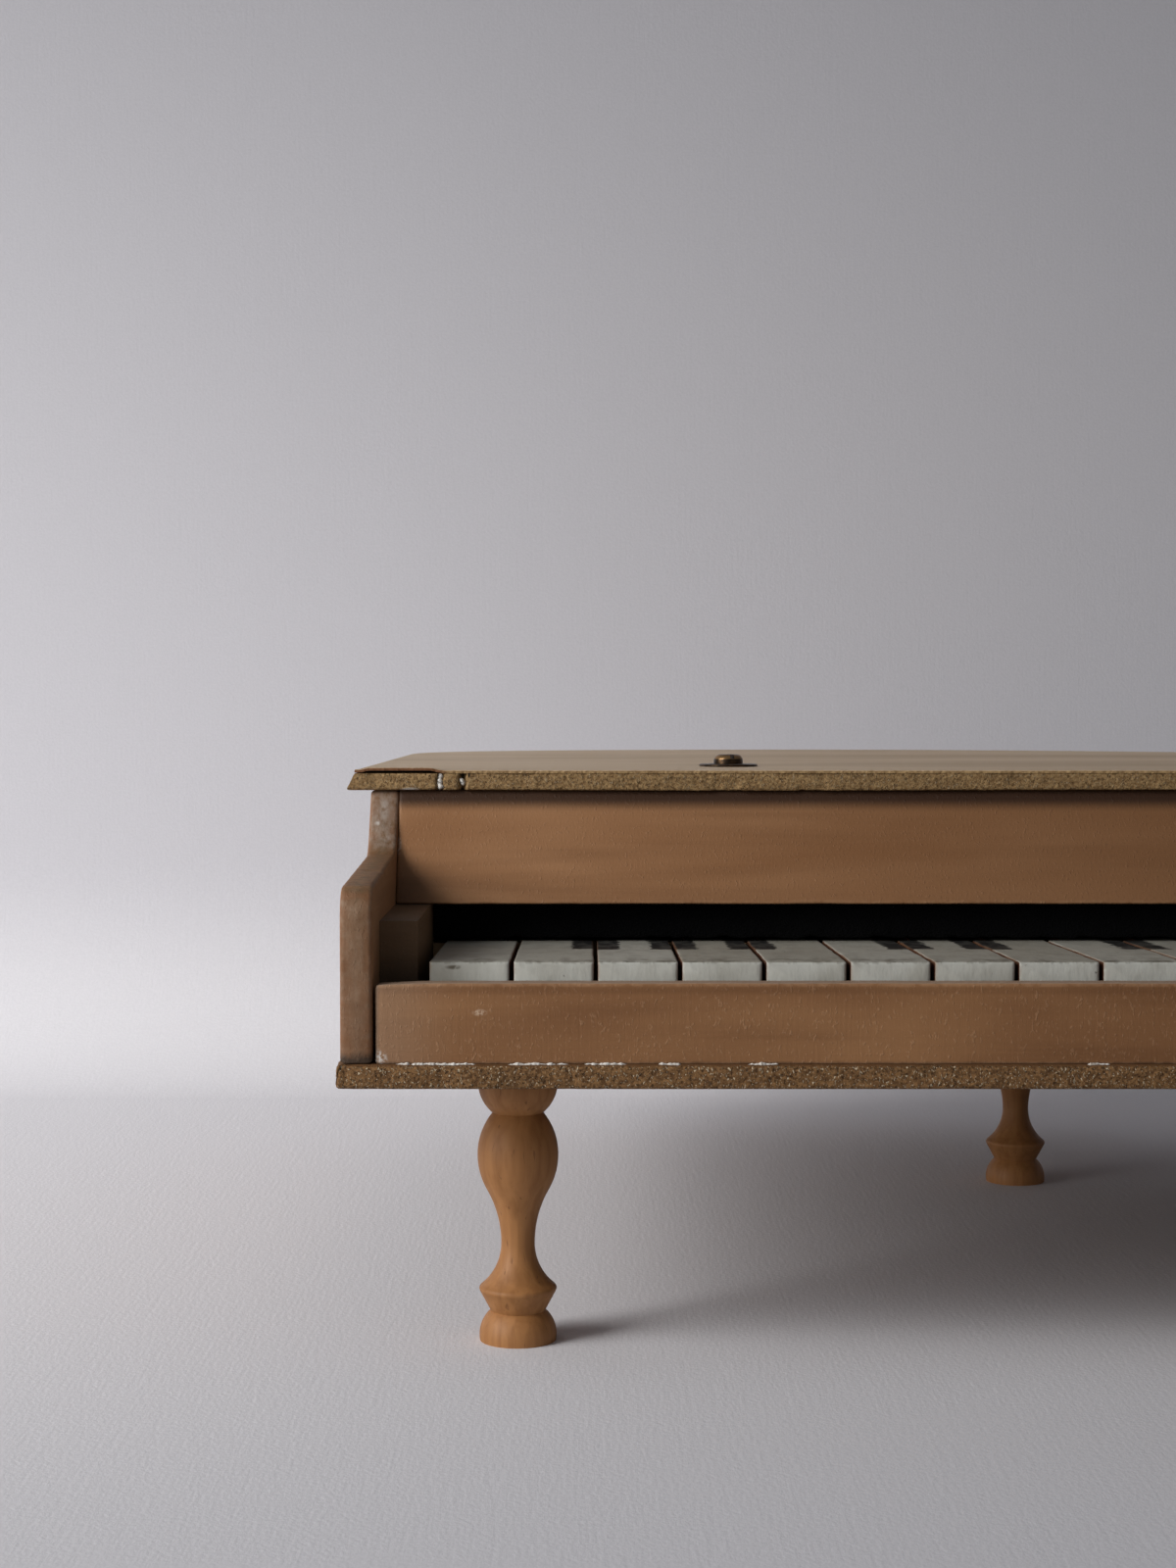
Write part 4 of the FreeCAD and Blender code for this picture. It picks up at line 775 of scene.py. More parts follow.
def swept_arm(spot):
    """Raise the arm a little and draw the foot of the slanted edge forward."""
    back, high = spot
    if high < ARM_START or back > RAKE_TOP:
        return spot
    down = (case_high - high) / (case_high - COVE_HIGH)
    share = (back - NOSE_BACK) / (COVE_BACK - NOSE_BACK) if back < COVE_BACK else down
    lift = ARM_LIFT * min(1.0, (high - ARM_START) / ARM_ROUND) * min(1.0, down)
    return Vector((back - RAKE_FORWARD * within(share, 0.0, 1.0), high + lift))


# %% Side boards
SIDE_ROUND = 0.0011
SIDE_EDGE = ((0.0, 0.003), (0.0, SIDE_ROUND), (0.00012, 0.0006), (0.0004, 0.00025),
             (SIDE_ROUND, 0.00001))
ARM_BACK = -0.095
ARM_FADE = 0.02
ARM_GRAIN = 0.00022
KNOCK_DEEP = 0.0016
KNOCK_FROM = 0.58


def side_wear(spot, along, inset):
    """A spot is a place back and up; the arm is worn most."""
    if inset > RUB_INSET:
        return 0.0
    place = (along, spot.x, spot.y)
    knocks = KNOCK_DEEP * max(0.0, rumple(place, 150, 7.0) - KNOCK_FROM)
    return ease((ARM_BACK - spot.x) / ARM_FADE) * (ARM_GRAIN * rumple(place, 420, 1.0) + knocks)


for name in ("left_side", "right_side"):
    side_low, side_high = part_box(name)
    side_rings = [(side_low.x + step, inset) for step, inset in SIDE_EDGE]
    side_rings += [((side_low.x + side_high.x) / 2, 0.0)]
    side_rings += [(side_high.x - step, inset) for step, inset in reversed(SIDE_EDGE)]
    side_board = rough_board(name, side_rings, side_wear, axis=0, bend=swept_arm)
    finish_piece(side_board, "worn_" + name, side_skin, replaced=name)

# %% [markdown]
# ## Turned legs
# The legs were turned from pale dowel and left almost bare. Their grain runs up and down, so
# here the noise is long in z, with short dark flecks and a slow haze over it.

# %% Leg wood
LEG_PALE = paint(166, 117, 71)
LEG_DARK = paint(126, 82, 43)
LEG_FLECK = paint(84, 50, 26)

legs = Finish("turned_leg_wood", shine=0.3)
grain = legs.noise((420, 420, 14), detail=4, swirl=0.5)
flecks = legs.blots((900, 900, 160), 0.66, 0.74, detail=2, shift=4)
legs.ground(legs.rise(grain, 0.3, 0.75) * 0.6, LEG_PALE, LEG_DARK)
legs.lay(legs.blots((60, 60, 45), 0.4, 0.75, detail=2, shift=7) * 0.35, LEG_DARK)
legs.lay(flecks * 0.4, LEG_FLECK)
leg_skin = legs.set(0.45 + 0.2 * grain, grain - 0.5 * flecks, depth=0.00012)
dress(leg_skin, "front_left_leg", "front_right_leg", "rear_leg")

# %% [markdown]
# ## Pressed fibre
# Base board and lid are pressed fibre. Their faces are smooth and brown, and their sawn
# edges are coarse: pale fibres, pits and crumbs. Colour and relief come from noises that
# only show where the surface stands upright.

# %% Fibre finish
FIBRE_PIT = paint(66, 46, 27)
FIBRE_GRAIN = paint(236, 218, 186)
HARD_FACE = paint(120, 84, 54)


def pressed_fibre(name, pale, brown, shift, coarse, patches_and_shade=()):
    """Smooth faces and a coarse sawn edge; each patch, of stain or of painted shade, has a place, a
    reach and a tone.
    """
    board = Finish(name, shine=0.2)
    edge = 1 - board.rise(abs(board.up), 0.75, 0.97)
    crumbs = board.noise((1200, 1200, 1500), detail=4, rough=0.65, shift=shift)
    pits = board.blots((1500, 1500, 1500), 0.58, 0.68, detail=2, shift=shift + 3)
    smudge = board.blots((55, 55, 160), 0.5, 0.75, shift=shift + 6)
    grains = board.blots((2400, 2400, 1500), 0.61, 0.69, detail=1, swirl=0.6, shift=shift + 9)
    board.ground(board.rise(crumbs, 0.33, 0.7), brown, pale)
    board.lay(pits * (coarse + 0.1), FIBRE_PIT)
    board.lay(smudge * 0.3, FIBRE_PIT)
    board.lay(grains * coarse, FIBRE_GRAIN)
    for centre, reach, tone in patches_and_shade:
        board.lay(board.patch(centre, reach), tone)
    face = board.mix(board.noise((220, 220, 220), detail=4, shift=shift), HARD_FACE, brown)
    board.ground(edge, face, board.color)
    relief = edge * (crumbs + 0.5 * grains - 0.5 * pits) + (1 - edge) * 0.1 * crumbs
    return board.set(0.78 - 0.12 * (1 - edge), relief, depth=0.0005)


# %% Base and lid fibre
PAINTED_CRACK_SHADE = paint(24, 18, 13)
OLD_FILLER = paint(206, 200, 192)

lid_low, lid_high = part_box("lid")
CRACKS = (lid_low.x + 0.0247, lid_low.x + 0.0305)
# The cracks are painted near black as painted shade inside them; one pale patch is old filler.
crack_filler_and_shade = [((x, lid_low.y, z), reach, tone) for x, z, reach, tone in (
    (CRACKS[1], lid_high.z - 0.0004, (0.0009, 0.006, 0.0019), PAINTED_CRACK_SHADE),
    (CRACKS[1], lid_low.z + 0.0003, (0.0008, 0.006, 0.0012), PAINTED_CRACK_SHADE),
    (CRACKS[1] + 0.0017, lid_high.z - 0.0003, (0.0005, 0.006, 0.0012), PAINTED_CRACK_SHADE),
    (CRACKS[0] - 0.0078, lid_low.z, (0.0034, 0.003, 0.0009), OLD_FILLER))]
base_fibre = pressed_fibre("base_fibre", paint(150, 113, 73), paint(92, 64, 38), 2.0, 0.75)
lid_fibre = pressed_fibre("lid_fibre", paint(178, 147, 103), paint(128, 99, 64), 9.0, 0.25,
                          crack_filler_and_shade)

# %% [markdown]
# ## Base board
# The base was sawn and hardly sanded. Its upper edge is rubbed round, its lower one crumbles,
# and the front left corner has lost a few crumbs.

# %% Base board
BASE_ROUND = 0.0014
BASE_INSET = 0.0003
BASE_GRAIN = 0.0004
BASE_CHIP = 0.002
BASE_STEP = 0.00062
CHIP_FROM = 0.64
CORNER_LOST = 0.0012
CORNER_REACH = 0.006


def base_wear(point, height, inset):
    if inset > 3 * BASE_ROUND:
        return 0.0
    place = (point.x, point.y, height)
    grain = BASE_GRAIN * max(0.0, rumple(place, 1000, 3.0) - 0.2)
    chip = BASE_CHIP * max(0.0, rumple(place, 110, 8.0) - CHIP_FROM)
    corner = math.hypot(point.x - base_low.x, point.y - base_low.y)
    lost = CORNER_LOST * max(0.0, 1 - corner / CORNER_REACH) * rumple(place, 500, 1.0)
    return BASE_INSET + grain + chip + lost


base_rings = [(base_low.z, 0.006), (base_low.z, 0.0012), (base_low.z + 0.0001, 0.0005)]
base_rings += [(base_low.z + 0.0005 + BASE_STEP * k, 0.0) for k in range(7)]
base_rings += [(base_high.z - 0.0007, 0.0002), (base_high.z - 0.0003, 0.0006)]
base_rings += [(base_high.z, BASE_ROUND), (base_high.z, 0.008)]
base_piece = finish_piece(rough_board("base_board", base_rings, base_wear), "rough_base_board",
                          base_fibre, replaced="base_board")

# %% [markdown]
# ## Lid
# The lid is the same fibre, sawn at a slant at its ends so that its underside reaches furthest
# out. Its front edge hangs a little low where it has been leaned on, and near its left end two
# cracks run up through the edge.

# %% Lid core
LID_FLAT = 0.003
LID_INSET = 0.00015
LID_GRAIN = 0.0003
LID_CHIP = 0.0014
LID_STEP = 0.00058
CRACK_HALF = 0.0009
CRACK_DEPTH = 0.0024
CRACK_WANDER = 0.0004
CRACK_REACH = 0.002
END_SLANT = 0.0022
END_REACH = 0.008
SAG_PLACE = -0.094
SAG_HALF = 0.055
SAG_REACH = 0.0016
SAG = 0.0005


def near_front(y, reach):
    """1 on the lid's front edge and 0 beyond a reach behind it."""
    return max(0.0, 1 - (y - lid_low.y) / reach)


def lid_wear(point, height, inset):
    if inset > LID_FLAT:
        return 0.0
    place = (point.x, point.y, height)
    grain = LID_GRAIN * rumple(place, 1000, 5.0)
    chip = LID_CHIP * max(0.0, rumple(place, 120, 2.0) - CHIP_FROM)
    across = point.x - CRACK_WANDER * noise.noise(Vector((height * 700, 3.0, 7.0)))
    crack = max(max(0.0, 1 - abs(across - middle) / CRACK_HALF) for middle in CRACKS)
    return LID_INSET + grain + chip + near_front(point.y, CRACK_REACH) * CRACK_DEPTH * crack ** 0.5


def draw_in(x, end, reach, amount):
    """Move a place near either end of the lid towards the middle."""
    return x - math.copysign(amount * ease(1 - (end - abs(x)) / reach), x)


def lid_shift(spot):
    share = (spot.z - lid_low.z) / (lid_high.z - lid_low.z)
    dip = SAG * near_front(spot.y, SAG_REACH) * math.exp(-((spot.x - SAG_PLACE) / SAG_HALF) ** 2)
    x = draw_in(spot.x, lid_high.x, END_REACH, END_SLANT * share)
    return Vector((x, spot.y, spot.z - dip * (1 - share)))


lid_rings = [(lid_low.z, LID_FLAT), (lid_low.z, 0.0008), (lid_low.z + 0.0002, 0.0002)]
lid_rings += [(lid_low.z + 0.0006 + LID_STEP * k, 0.0) for k in range(6)]
lid_rings += [(lid_high.z - 0.0001, 0.00005), (lid_high.z, 0.0002), (lid_high.z, 0.0045)]
lid_piece = finish_piece(rough_board("lid", lid_rings, lid_wear, lid_shift), "rough_lid",
                         lid_fibre, replaced="lid")

# %% [markdown]
# ## Veneer on the lid
# The top of the lid is one thin sheet of veneer, faded to a greyish tan, with level grain
# that runs from side to side. Its cut edge is brown as the fibre is, and darker at the loose
# corner.

# %% Veneer
VENEER_PALE = paint(196, 173, 144)
VENEER_GREY = paint(178, 154, 124)
VENEER_LINE = paint(138, 108, 78)
LOOSE_EDGE = paint(118, 76, 44)
LOOSE_ACROSS = 0.0242

ply_low, ply_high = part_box("lid_face")
loose_end = ply_low.x + LOOSE_ACROSS
veneer = Finish("faded_veneer", shine=0.35)
figure = veneer.noise((6, 95, 95), detail=5, swirl=1.1)
lines = veneer.noise((30, 900, 900), shift=2)
fade = veneer.blots((5, 12, 12), 0.35, 0.65, detail=2, shift=5)
veneer.ground(fade, VENEER_PALE, VENEER_GREY)
veneer.lay(veneer.rise(figure, 0.48, 0.75) * 0.38, VENEER_LINE)
veneer.lay(veneer.rise(lines, 0.45, 0.75) * 0.25, VENEER_LINE)
crumbled = veneer.blots((1400, 1400, 1400), 0.33, 0.7, shift=8)
cut_edge = veneer.mix(crumbled, paint(138, 108, 70), paint(184, 152, 106))
loose = veneer.rise(veneer.x, loose_end + 0.002, loose_end - 0.001)
cut_edge = veneer.mix(loose, cut_edge, LOOSE_EDGE)
veneer.lay(1 - veneer.rise(abs(veneer.up), 0.4, 0.8), cut_edge)
veneer_skin = veneer.set(0.42 + 0.2 * lines, lines + figure, depth=0.0002)

# %% [markdown]
# At the front left corner the veneer has come unglued. It stands more than half a millimetre
# off the fibre, over the length up to the first crack, and leaves a dark slit that closes
# towards the end of the lid. The sheet is a board of three rings, cut into small cells near
# that corner so that it can bend there.

# %% Lifted veneer
LIFT = 0.0007
LIFT_FADE = 0.004
LOOSE_BACK = 0.014
SIDE_SETBACK = 0.0013
CELL_WIDE = 0.001
CELL_DEEP = 0.0014
PLY_WORN = 0.0002


def ply_lift(x, y):
    side = ease((loose_end + 0.0006 - x) / LIFT_FADE)
    closed = 0.25 + 0.75 * ease((x - ply_low.x - 0.001) / LIFT_FADE)
    return LIFT * side * closed * ease(1 - (y - ply_low.y) / LOOSE_BACK)


def ply_wear(point, height, inset):
    wander = PLY_WORN * rumple((point.x, point.y, 0), 350, 6.0)
    return wander + PLY_WORN * rumple((point.x, point.y, height), 1200, 2.0)


ply_rings = [(ply_low.z, 0.0), (ply_high.z - 0.0002, 0.0), (ply_high.z, 0.0002)]
ply_board = rough_board("lid_face", ply_rings, ply_wear)
for k in range(1, 28):
    cut_through(ply_board, (ply_low.x + CELL_WIDE * k, 0, 0), (1, 0, 0))
for k in range(1, 11):
    cut_through(ply_board, (0, ply_low.y + CELL_DEEP * k, 0), (0, 1, 0))
for point in ply_board.verts:
    point.co.z += ply_lift(point.co.x, point.co.y)
    point.co.x = draw_in(point.co.x, ply_high.x, END_REACH, SIDE_SETBACK)
finish_piece(ply_board, "lifted_veneer", veneer_skin, replaced="lid_face", smooth=False)

# %% [markdown]
# ## Geometry Nodes recipes
# What repeats, or follows a line or a surface, is made by a Geometry Nodes tree: fibres on
# the sawn edges, beads of dried glue, and the lid screws. A recipe is a tree with named
# inputs. Cooking it runs the tree on a start mesh and keeps the result as a plain mesh, which
# is what an export can use.

# %% Recipes
SOCKETS = {float: "NodeSocketFloat", int: "NodeSocketInt",
           bpy.types.Object: "NodeSocketObject", bpy.types.Material: "NodeSocketMaterial"}


def applied(carrier):
    """The mesh of an object with its modifiers worked in; the object itself goes."""
    view = bpy.context.evaluated_depsgraph_get()
    mesh = bpy.data.meshes.new_from_object(carrier.evaluated_get(view))
    carrier.modifiers.clear()
    bpy.data.objects.remove(carrier)
    return mesh


def keep_inside(mesh, low, high):
    for point in mesh.vertices:
        point.co = [within(*limits) for limits in zip(point.co, low, high)]


class Recipe(Graph):
    """A Geometry Nodes tree with named inputs."""

    def __init__(self, name, **inputs):
        self.tree = bpy.data.node_groups.new(name, "GeometryNodeTree")
        face = self.tree.interface
        face.new_socket("Geometry", in_out="OUTPUT", socket_type="NodeSocketGeometry")
        face.new_socket("Geometry", in_out="INPUT", socket_type="NodeSocketGeometry")
        self.settings = {}
        for label, value in inputs.items():
            socket = face.new_socket(label, in_out="INPUT", socket_type=SOCKETS[type(value)])
            self.settings[socket.identifier] = value
        entry = self.tree.nodes.new("NodeGroupInput")
        self.given = {socket.name: Shade(self, socket) for socket in entry.outputs if socket.name}

    def chance(self, kind, low, high, seed=0):
        """A random value for each point, between two others."""
        made = self.tree.nodes.new("FunctionNodeRandomValue")
        made.data_type = kind
        limits = {"Min": low, "Max": high, "Seed": seed}
        for socket in made.inputs:
            if socket.enabled and socket.name in limits:
                self.feed(socket, limits[socket.name])
        return Shade(self, next(socket for socket in made.outputs if socket.enabled))

    def end(self, result):
        """Make instances real, give them the material and close the tree."""
        real = self.node("GeometryNodeRealizeInstances", (), [result])
        dressed = {"Geometry": real, "Material": self.given["Material"]}
        leave = self.tree.nodes.new("NodeGroupOutput")
        self.feed(leave.inputs[0], self.node("GeometryNodeSetMaterial", (), dressed))

    def cook(self, start):
        """Run the tree on a mesh; the mesh that comes out stays inside the box of the solids."""
        carrier = add_object(self.tree.name, start)
        modifier = carrier.modifiers.new(self.tree.name, "NODES")
        modifier.node_group = self.tree
        for identifier, value in self.settings.items():
            modifier[identifier] = value
        mesh = applied(carrier)
        keep_inside(mesh, *cad_box)
        return mesh


# %% [markdown]
# ## Fibres on the sawn edges
# A saw leaves short fibres standing on pressed board. A hair system could grow them, but a
# few thousand thin cones, scattered on the upright faces and laid almost flat, are lighter
# and stay when the model is exported.

# %% Edge fibres
LEAN_LEAST = (1.15, 0.0, 0.0)
LEAN_MOST = (1.75, 0.0, 6.28)

fuzz = Finish("loose_fibre", shine=0.15)
tufts = fuzz.blots((300, 300, 300), 0.3, 0.7)
fuzz.ground(tufts, paint(176, 142, 98), paint(104, 74, 44))
fuzz_skin = fuzz.set(0.8)


def grow_fibres(piece, name, per_square_metre, seed):
    """Short fibres on the upright faces of a board."""
    fibres = Recipe(name, Density=float(per_square_metre), Seed=seed, Shortest=0.35, Longest=1.0,
                    Length=0.0011, Thickness=0.00006, Material=fuzz_skin)
    given = fibres.given
    upright = abs(fibres.split(fibres.node("GeometryNodeInputNormal"))[2]) < 0.5
    spots = {"Mesh": given["Geometry"], "Selection": upright,
             "Density": given["Density"], "Seed": given["Seed"]}
    method = {"distribute_method": "RANDOM"}
    points = fibres.node("GeometryNodeDistributePointsOnFaces", method, spots, "Points")
    stand = Shade(fibres, points.socket.node.outputs["Rotation"])
    cone = {"Vertices": 5, "Radius Top": 0.0,
            "Radius Bottom": given["Thickness"], "Depth": given["Length"]}
    sliver = fibres.node("GeometryNodeMeshCone", {"fill_type": "NGON"}, cone, "Mesh")
    lean = fibres.chance("FLOAT_VECTOR", LEAN_LEAST, LEAN_MOST, given["Seed"])
    lean = fibres.node("FunctionNodeEulerToRotation", (), [lean])
    lean = fibres.node("FunctionNodeRotateRotation", {"rotation_space": "LOCAL"}, [stand, lean])
    size = fibres.chance("FLOAT", given["Shortest"], given["Longest"])
    copies = {"Points": points, "Instance": sliver, "Rotation": lean, "Scale": size}
    fibres.end(fibres.node("GeometryNodeInstanceOnPoints", (), copies))
    finish_piece(fibres.cook(piece.data.copy()), name, fuzz_skin)


grow_fibres(base_piece, "base_edge_fibres", 260000, 3)
grow_fibres(lid_piece, "lid_edge_fibres", 200000, 8)

# %% [markdown]
# ## Dried glue
# White glue was squeezed out of the joint between slip and base, and someone once ran it into
# the cracks of the lid. Each stretch is a line of points. The tree turns it into a curve, lets
# its radius swell and shrink by noise, and sweeps a small circle along it.

# %% Glue lines
GLUE_RUNS = ((-0.1813, -0.1629), (-0.1558, -0.1420), (-0.1385, -0.1287), (-0.1216, -0.1163),
             (-0.1012, -0.0944), (-0.0241, -0.0190), (0.0672, 0.0741))
GLUE_OUT = 0.0001
FILLER_IN = 0.0012

glue_lines = [[(x, slip_low.y - GLUE_OUT, base_high.z) for x in run] for run in GLUE_RUNS]
filler_front = lid_low.y + FILLER_IN
filler_lines = [[(x, filler_front, z) for x, z in run] for run in (
    ((CRACKS[0] - 0.0002, lid_low.z + 0.0001), (CRACKS[0], lid_high.z)),
    ((CRACKS[1], lid_low.z + 0.0010), (CRACKS[1], lid_low.z + 0.0028)))]

# %% Glue beads
glue = Finish("dried_glue", shine=0.4)
stained = glue.noise((900, 900, 900), detail=4)
glue.ground(glue.rise(stained, 0.45, 0.8), paint(226, 223, 217), paint(168, 155, 138))
glue_skin = glue.set(0.5 + 0.3 * stained, stained, depth=0.0002)


def run_glue(name, lines, bead, waves, wander):
    """Lumpy beads along straight lines from one end to the other."""
    start = bpy.data.meshes.new(name)
    ends = [end for line in lines for end in line]
    start.from_pydata(ends, [(2 * k, 2 * k + 1) for k in range(len(lines))], [])
    beads = Recipe(name, Bead=bead, Step=0.0002, Waves=waves, Wander=wander, Material=glue_skin)
    given = beads.given
    line = {"Curve": beads.node("GeometryNodeMeshToCurve", (), {"Mesh": given["Geometry"]}),
            "Length": given["Step"]}
    line = beads.node("GeometryNodeResampleCurve", {"mode": "LENGTH"}, line)
    place = beads.node("GeometryNodeInputPosition")
    waves_at = {"Vector": place, "Scale": given["Waves"], "Detail": 2.0}
    ripple = beads.node("ShaderNodeTexNoise", (), waves_at)
    share = beads.node("GeometryNodeSplineParameter", out="Factor")
    taper = (share * (1 - share) * 9).least(1)
    radius = given["Bead"] * taper * (ripple * 3.2 - 0.6).most(0.25)
    colour = Shade(beads, ripple.socket.node.outputs["Color"])
    drift = {0: beads.vector("SUBTRACT", colour, (0.5, 0.5, 0.5)), "Scale": given["Wander"]}
    drift = beads.node("ShaderNodeVectorMath", {"operation": "SCALE"}, drift)
    line = beads.node("GeometryNodeSetPosition", (), {"Geometry": line, "Offset": drift})
    circle = {"Resolution": 8, "Radius": 1.0}
    ring = beads.node("GeometryNodeCurvePrimitiveCircle", {"mode": "RADIUS"}, circle)
    sweep = {"Curve": line, "Profile Curve": ring, "Scale": radius, "Fill Caps": True}
    beads.end(beads.node("GeometryNodeCurveToMesh", (), sweep))
    finish_piece(beads.cook(start), name, glue_skin)


run_glue("glue_beads", glue_lines, 0.00031, 900.0, 0.0005)
run_glue("crack_filler", filler_lines, 0.00062, 2400.0, 0.0012)

# %% [markdown]
# ## Lid screws
# The lid is held by slotted screws with flat round heads, each on a wide washer. One screw is
# turned as a profile, its slot is cut by pushing a strip of the top down, and a tree sets a
# copy, turned by chance, on each place that the solids give.

# %% Screw profile
WASHER_RADIUS = 0.0080
WASHER_THICK = 0.0007
HEAD_RADIUS = 0.0040
HEAD_HIGH = 0.0026
SLOT_HALF = 0.00055
SLOT_DEEP = 0.0011
DOME_HIGH = 0.0017
DOME_INSET = 0.0017
DOME_STEPS = 6
TURNS = 56

screw_high = WASHER_THICK + HEAD_HIGH
slot_floor = screw_high - SLOT_DEEP
screw_profile = [(0.0025, 0.0), (WASHER_RADIUS - 0.0003, 0.0), (WASHER_RADIUS, 0.0002),
                 (WASHER_RADIUS, 0.0005), (WASHER_RADIUS - 0.0003, WASHER_THICK),
                 (HEAD_RADIUS + 0.0004, WASHER_THICK), (HEAD_RADIUS, WASHER_THICK + 0.0001)]
dome_turns = [math.pi / 2 * step / DOME_STEPS for step in range(DOME_STEPS + 1)]
for turn in sorted([*dome_turns, math.asin(1 - SLOT_DEEP / DOME_HIGH)]):
    inset = DOME_INSET * (1 - math.cos(turn))
    screw_profile.append((HEAD_RADIUS - inset, screw_high - DOME_HIGH * (1 - math.sin(turn))))
screw_profile.append((HEAD_RADIUS - DOME_INSET - 0.0005, screw_high))

# %% One screw
def in_slot(face):
    """Whether a face of the dome lies over the slot."""
    middle = face.calc_center_median()
    lowest = min(point.co.z for point in face.verts)
    over = middle.z > slot_floor + WELD and lowest > slot_floor - WELD
    return over and abs(middle.x) < SLOT_HALF


screw = bmesh.new()
spokes = [2 * math.pi * k / TURNS for k in range(TURNS)]
skin_rings(screw, [[screw.verts.new((out * math.cos(a), out * math.sin(a), height)) for a in spokes]
                   for out, height in screw_profile])
for side in (-SLOT_HALF, SLOT_HALF):
    cut_through(screw, (side, 0, 0), (1, 0, 0))
slot_faces = [face for face in screw.faces if in_slot(face)]
pushed = bmesh.ops.extrude_face_region(screw, geom=slot_faces)["geom"]
bmesh.ops.delete(screw, geom=slot_faces, context="FACES")
for part in pushed:
    if isinstance(part, bmesh.types.BMVert):
        part.co.z = slot_floor
one_screw = bpy.data.objects.new("one_screw", as_mesh(screw, "one_screw"))
print("screw faces:", len(one_screw.data.polygons))

# %% [markdown]
# The metal is a brown so dark that it is almost black, except for the shoulder of the head,
# a ring that hands and cloths have kept polished.

# %% Old brass
lid_top = ply_high.z
brass = Finish("old_brass")
tarnish = brass.noise((500, 500, 500), detail=5)
brass.ground(brass.rise(tarnish, 0.35, 0.65), paint(80, 60, 39), paint(38, 29, 21))
shoulder = brass.rise(brass.up, 0.15, 0.4) * brass.rise(brass.up, 0.97, 0.85)
shoulder = shoulder * brass.rise(brass.z, lid_top + WASHER_THICK, lid_top + WASHER_THICK + 0.0006)
brass.lay(shoulder * 0.6, paint(176, 138, 92))
brass_skin = brass.set(0.2 + 0.22 * tarnish, tarnish, depth=0.0001, metallic=0.8)

# %% Screws on the lid
SPIN_LEAST = (0.0, 0.0, 0.2)
SPIN_MOST = (0.0, 0.0, 1.2)
WASHER_NEAR = 2e-4

washers = loose_copy("lid_screws")
rims = {}
for point in washers.verts:
    if abs(point.co.z - lid_top) < WASHER_NEAR:
        rims.setdefault(point.co.x > 0, []).append(point.co.copy())
washers.free()
centres = [sum(spots, Vector()) / len(spots) for spots in rims.values()]
for spot in centres:
    spot.z = lid_top
print("screw places:", [[round(c, 4) for c in spot] for spot in centres])
screw_start = bpy.data.meshes.new("screw_places")
screw_start.from_pydata(centres, [], [])

screws = Recipe("lid_screw_set", Screw=one_screw, Seed=5, Material=brass_skin)
given = screws.given
shape = screws.node("GeometryNodeObjectInfo", (), {"Object": given["Screw"]}, "Geometry")
spin = screws.chance("FLOAT_VECTOR", SPIN_LEAST, SPIN_MOST, given["Seed"])
spin = screws.node("FunctionNodeEulerToRotation", (), [spin])
copies = {"Points": given["Geometry"], "Instance": shape, "Rotation": spin}
screws.end(screws.node("GeometryNodeInstanceOnPoints", (), copies))
screw_set = screws.cook(screw_start)
bpy.data.objects.remove(one_screw)
screw_set.shade_smooth()
screw_set.set_sharp_from_angle(angle=math.radians(40))
finish_piece(screw_set, "slotted_lid_screws", brass_skin, replaced="lid_screws",
             smooth=False)

# %% [markdown]
# ## Painted keys
# The keys are wood under thick chalky white. The black notes are only dark marks brushed
# across the joints between two keys, at the back. A pattern that repeats every seven keys
# can be counted in the material itself: the number of the nearest joint, divided by seven,
# leaves 1 or 5 where a piano has no black key.

# %% Painted marks
KEY_COUNT = 18
KEY_PITCH = 0.0194
FIRST_JOINT = -KEY_PITCH * (KEY_COUNT / 2 - 1)
MARK_BACK = 0.0380
MARK_HALF = 0.0057
MARK_SOFT = 0.0005

key_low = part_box("key_01")[0]
mark_front = key_low.y + MARK_BACK
keys = Finish("chalky_key_paint", shine=0.3)
brush = keys.noise((700, 260, 260), shift=3)
smear = keys.noise((60, 60, 60), detail=2, shift=21)
ragged = (brush - 0.5) * 0.0034 + (smear - 0.5) * 0.0020
joint = round((keys.x - FIRST_JOINT) / KEY_PITCH) + 1
to_joint = abs(keys.x - FIRST_JOINT - (joint - 1) * KEY_PITCH)
note = joint % 7
no_mark = 1 - keys.rise(abs(note - 1), 0.4, 0.6) * keys.rise(abs(note - 5), 0.4, 0.6)
mark = keys.rise(to_joint + ragged, MARK_HALF + MARK_SOFT, MARK_HALF - MARK_SOFT)
mark = mark * keys.rise(keys.y + ragged, mark_front - MARK_SOFT, mark_front + MARK_SOFT)
inside = keys.rise(joint, 0.4, 0.6) * keys.rise(joint, KEY_COUNT - 0.4, KEY_COUNT - 0.6)
mark = mark * (1 - no_mark) * inside * keys.rise(keys.up, 0.2, 0.5)

# %% Key paint
CHALK = paint(194, 195, 187)
CHALK_GREY = paint(149, 145, 133)
GRIME_AND_SHADOW = paint(92, 86, 74)
CHARCOAL = paint(21, 19, 18)
RAW_WOOD = paint(84, 50, 32)
KEY_CHIP = ((-0.1684, -0.1754, 0.0929), (0.0027, 0.0016, 0.0007))

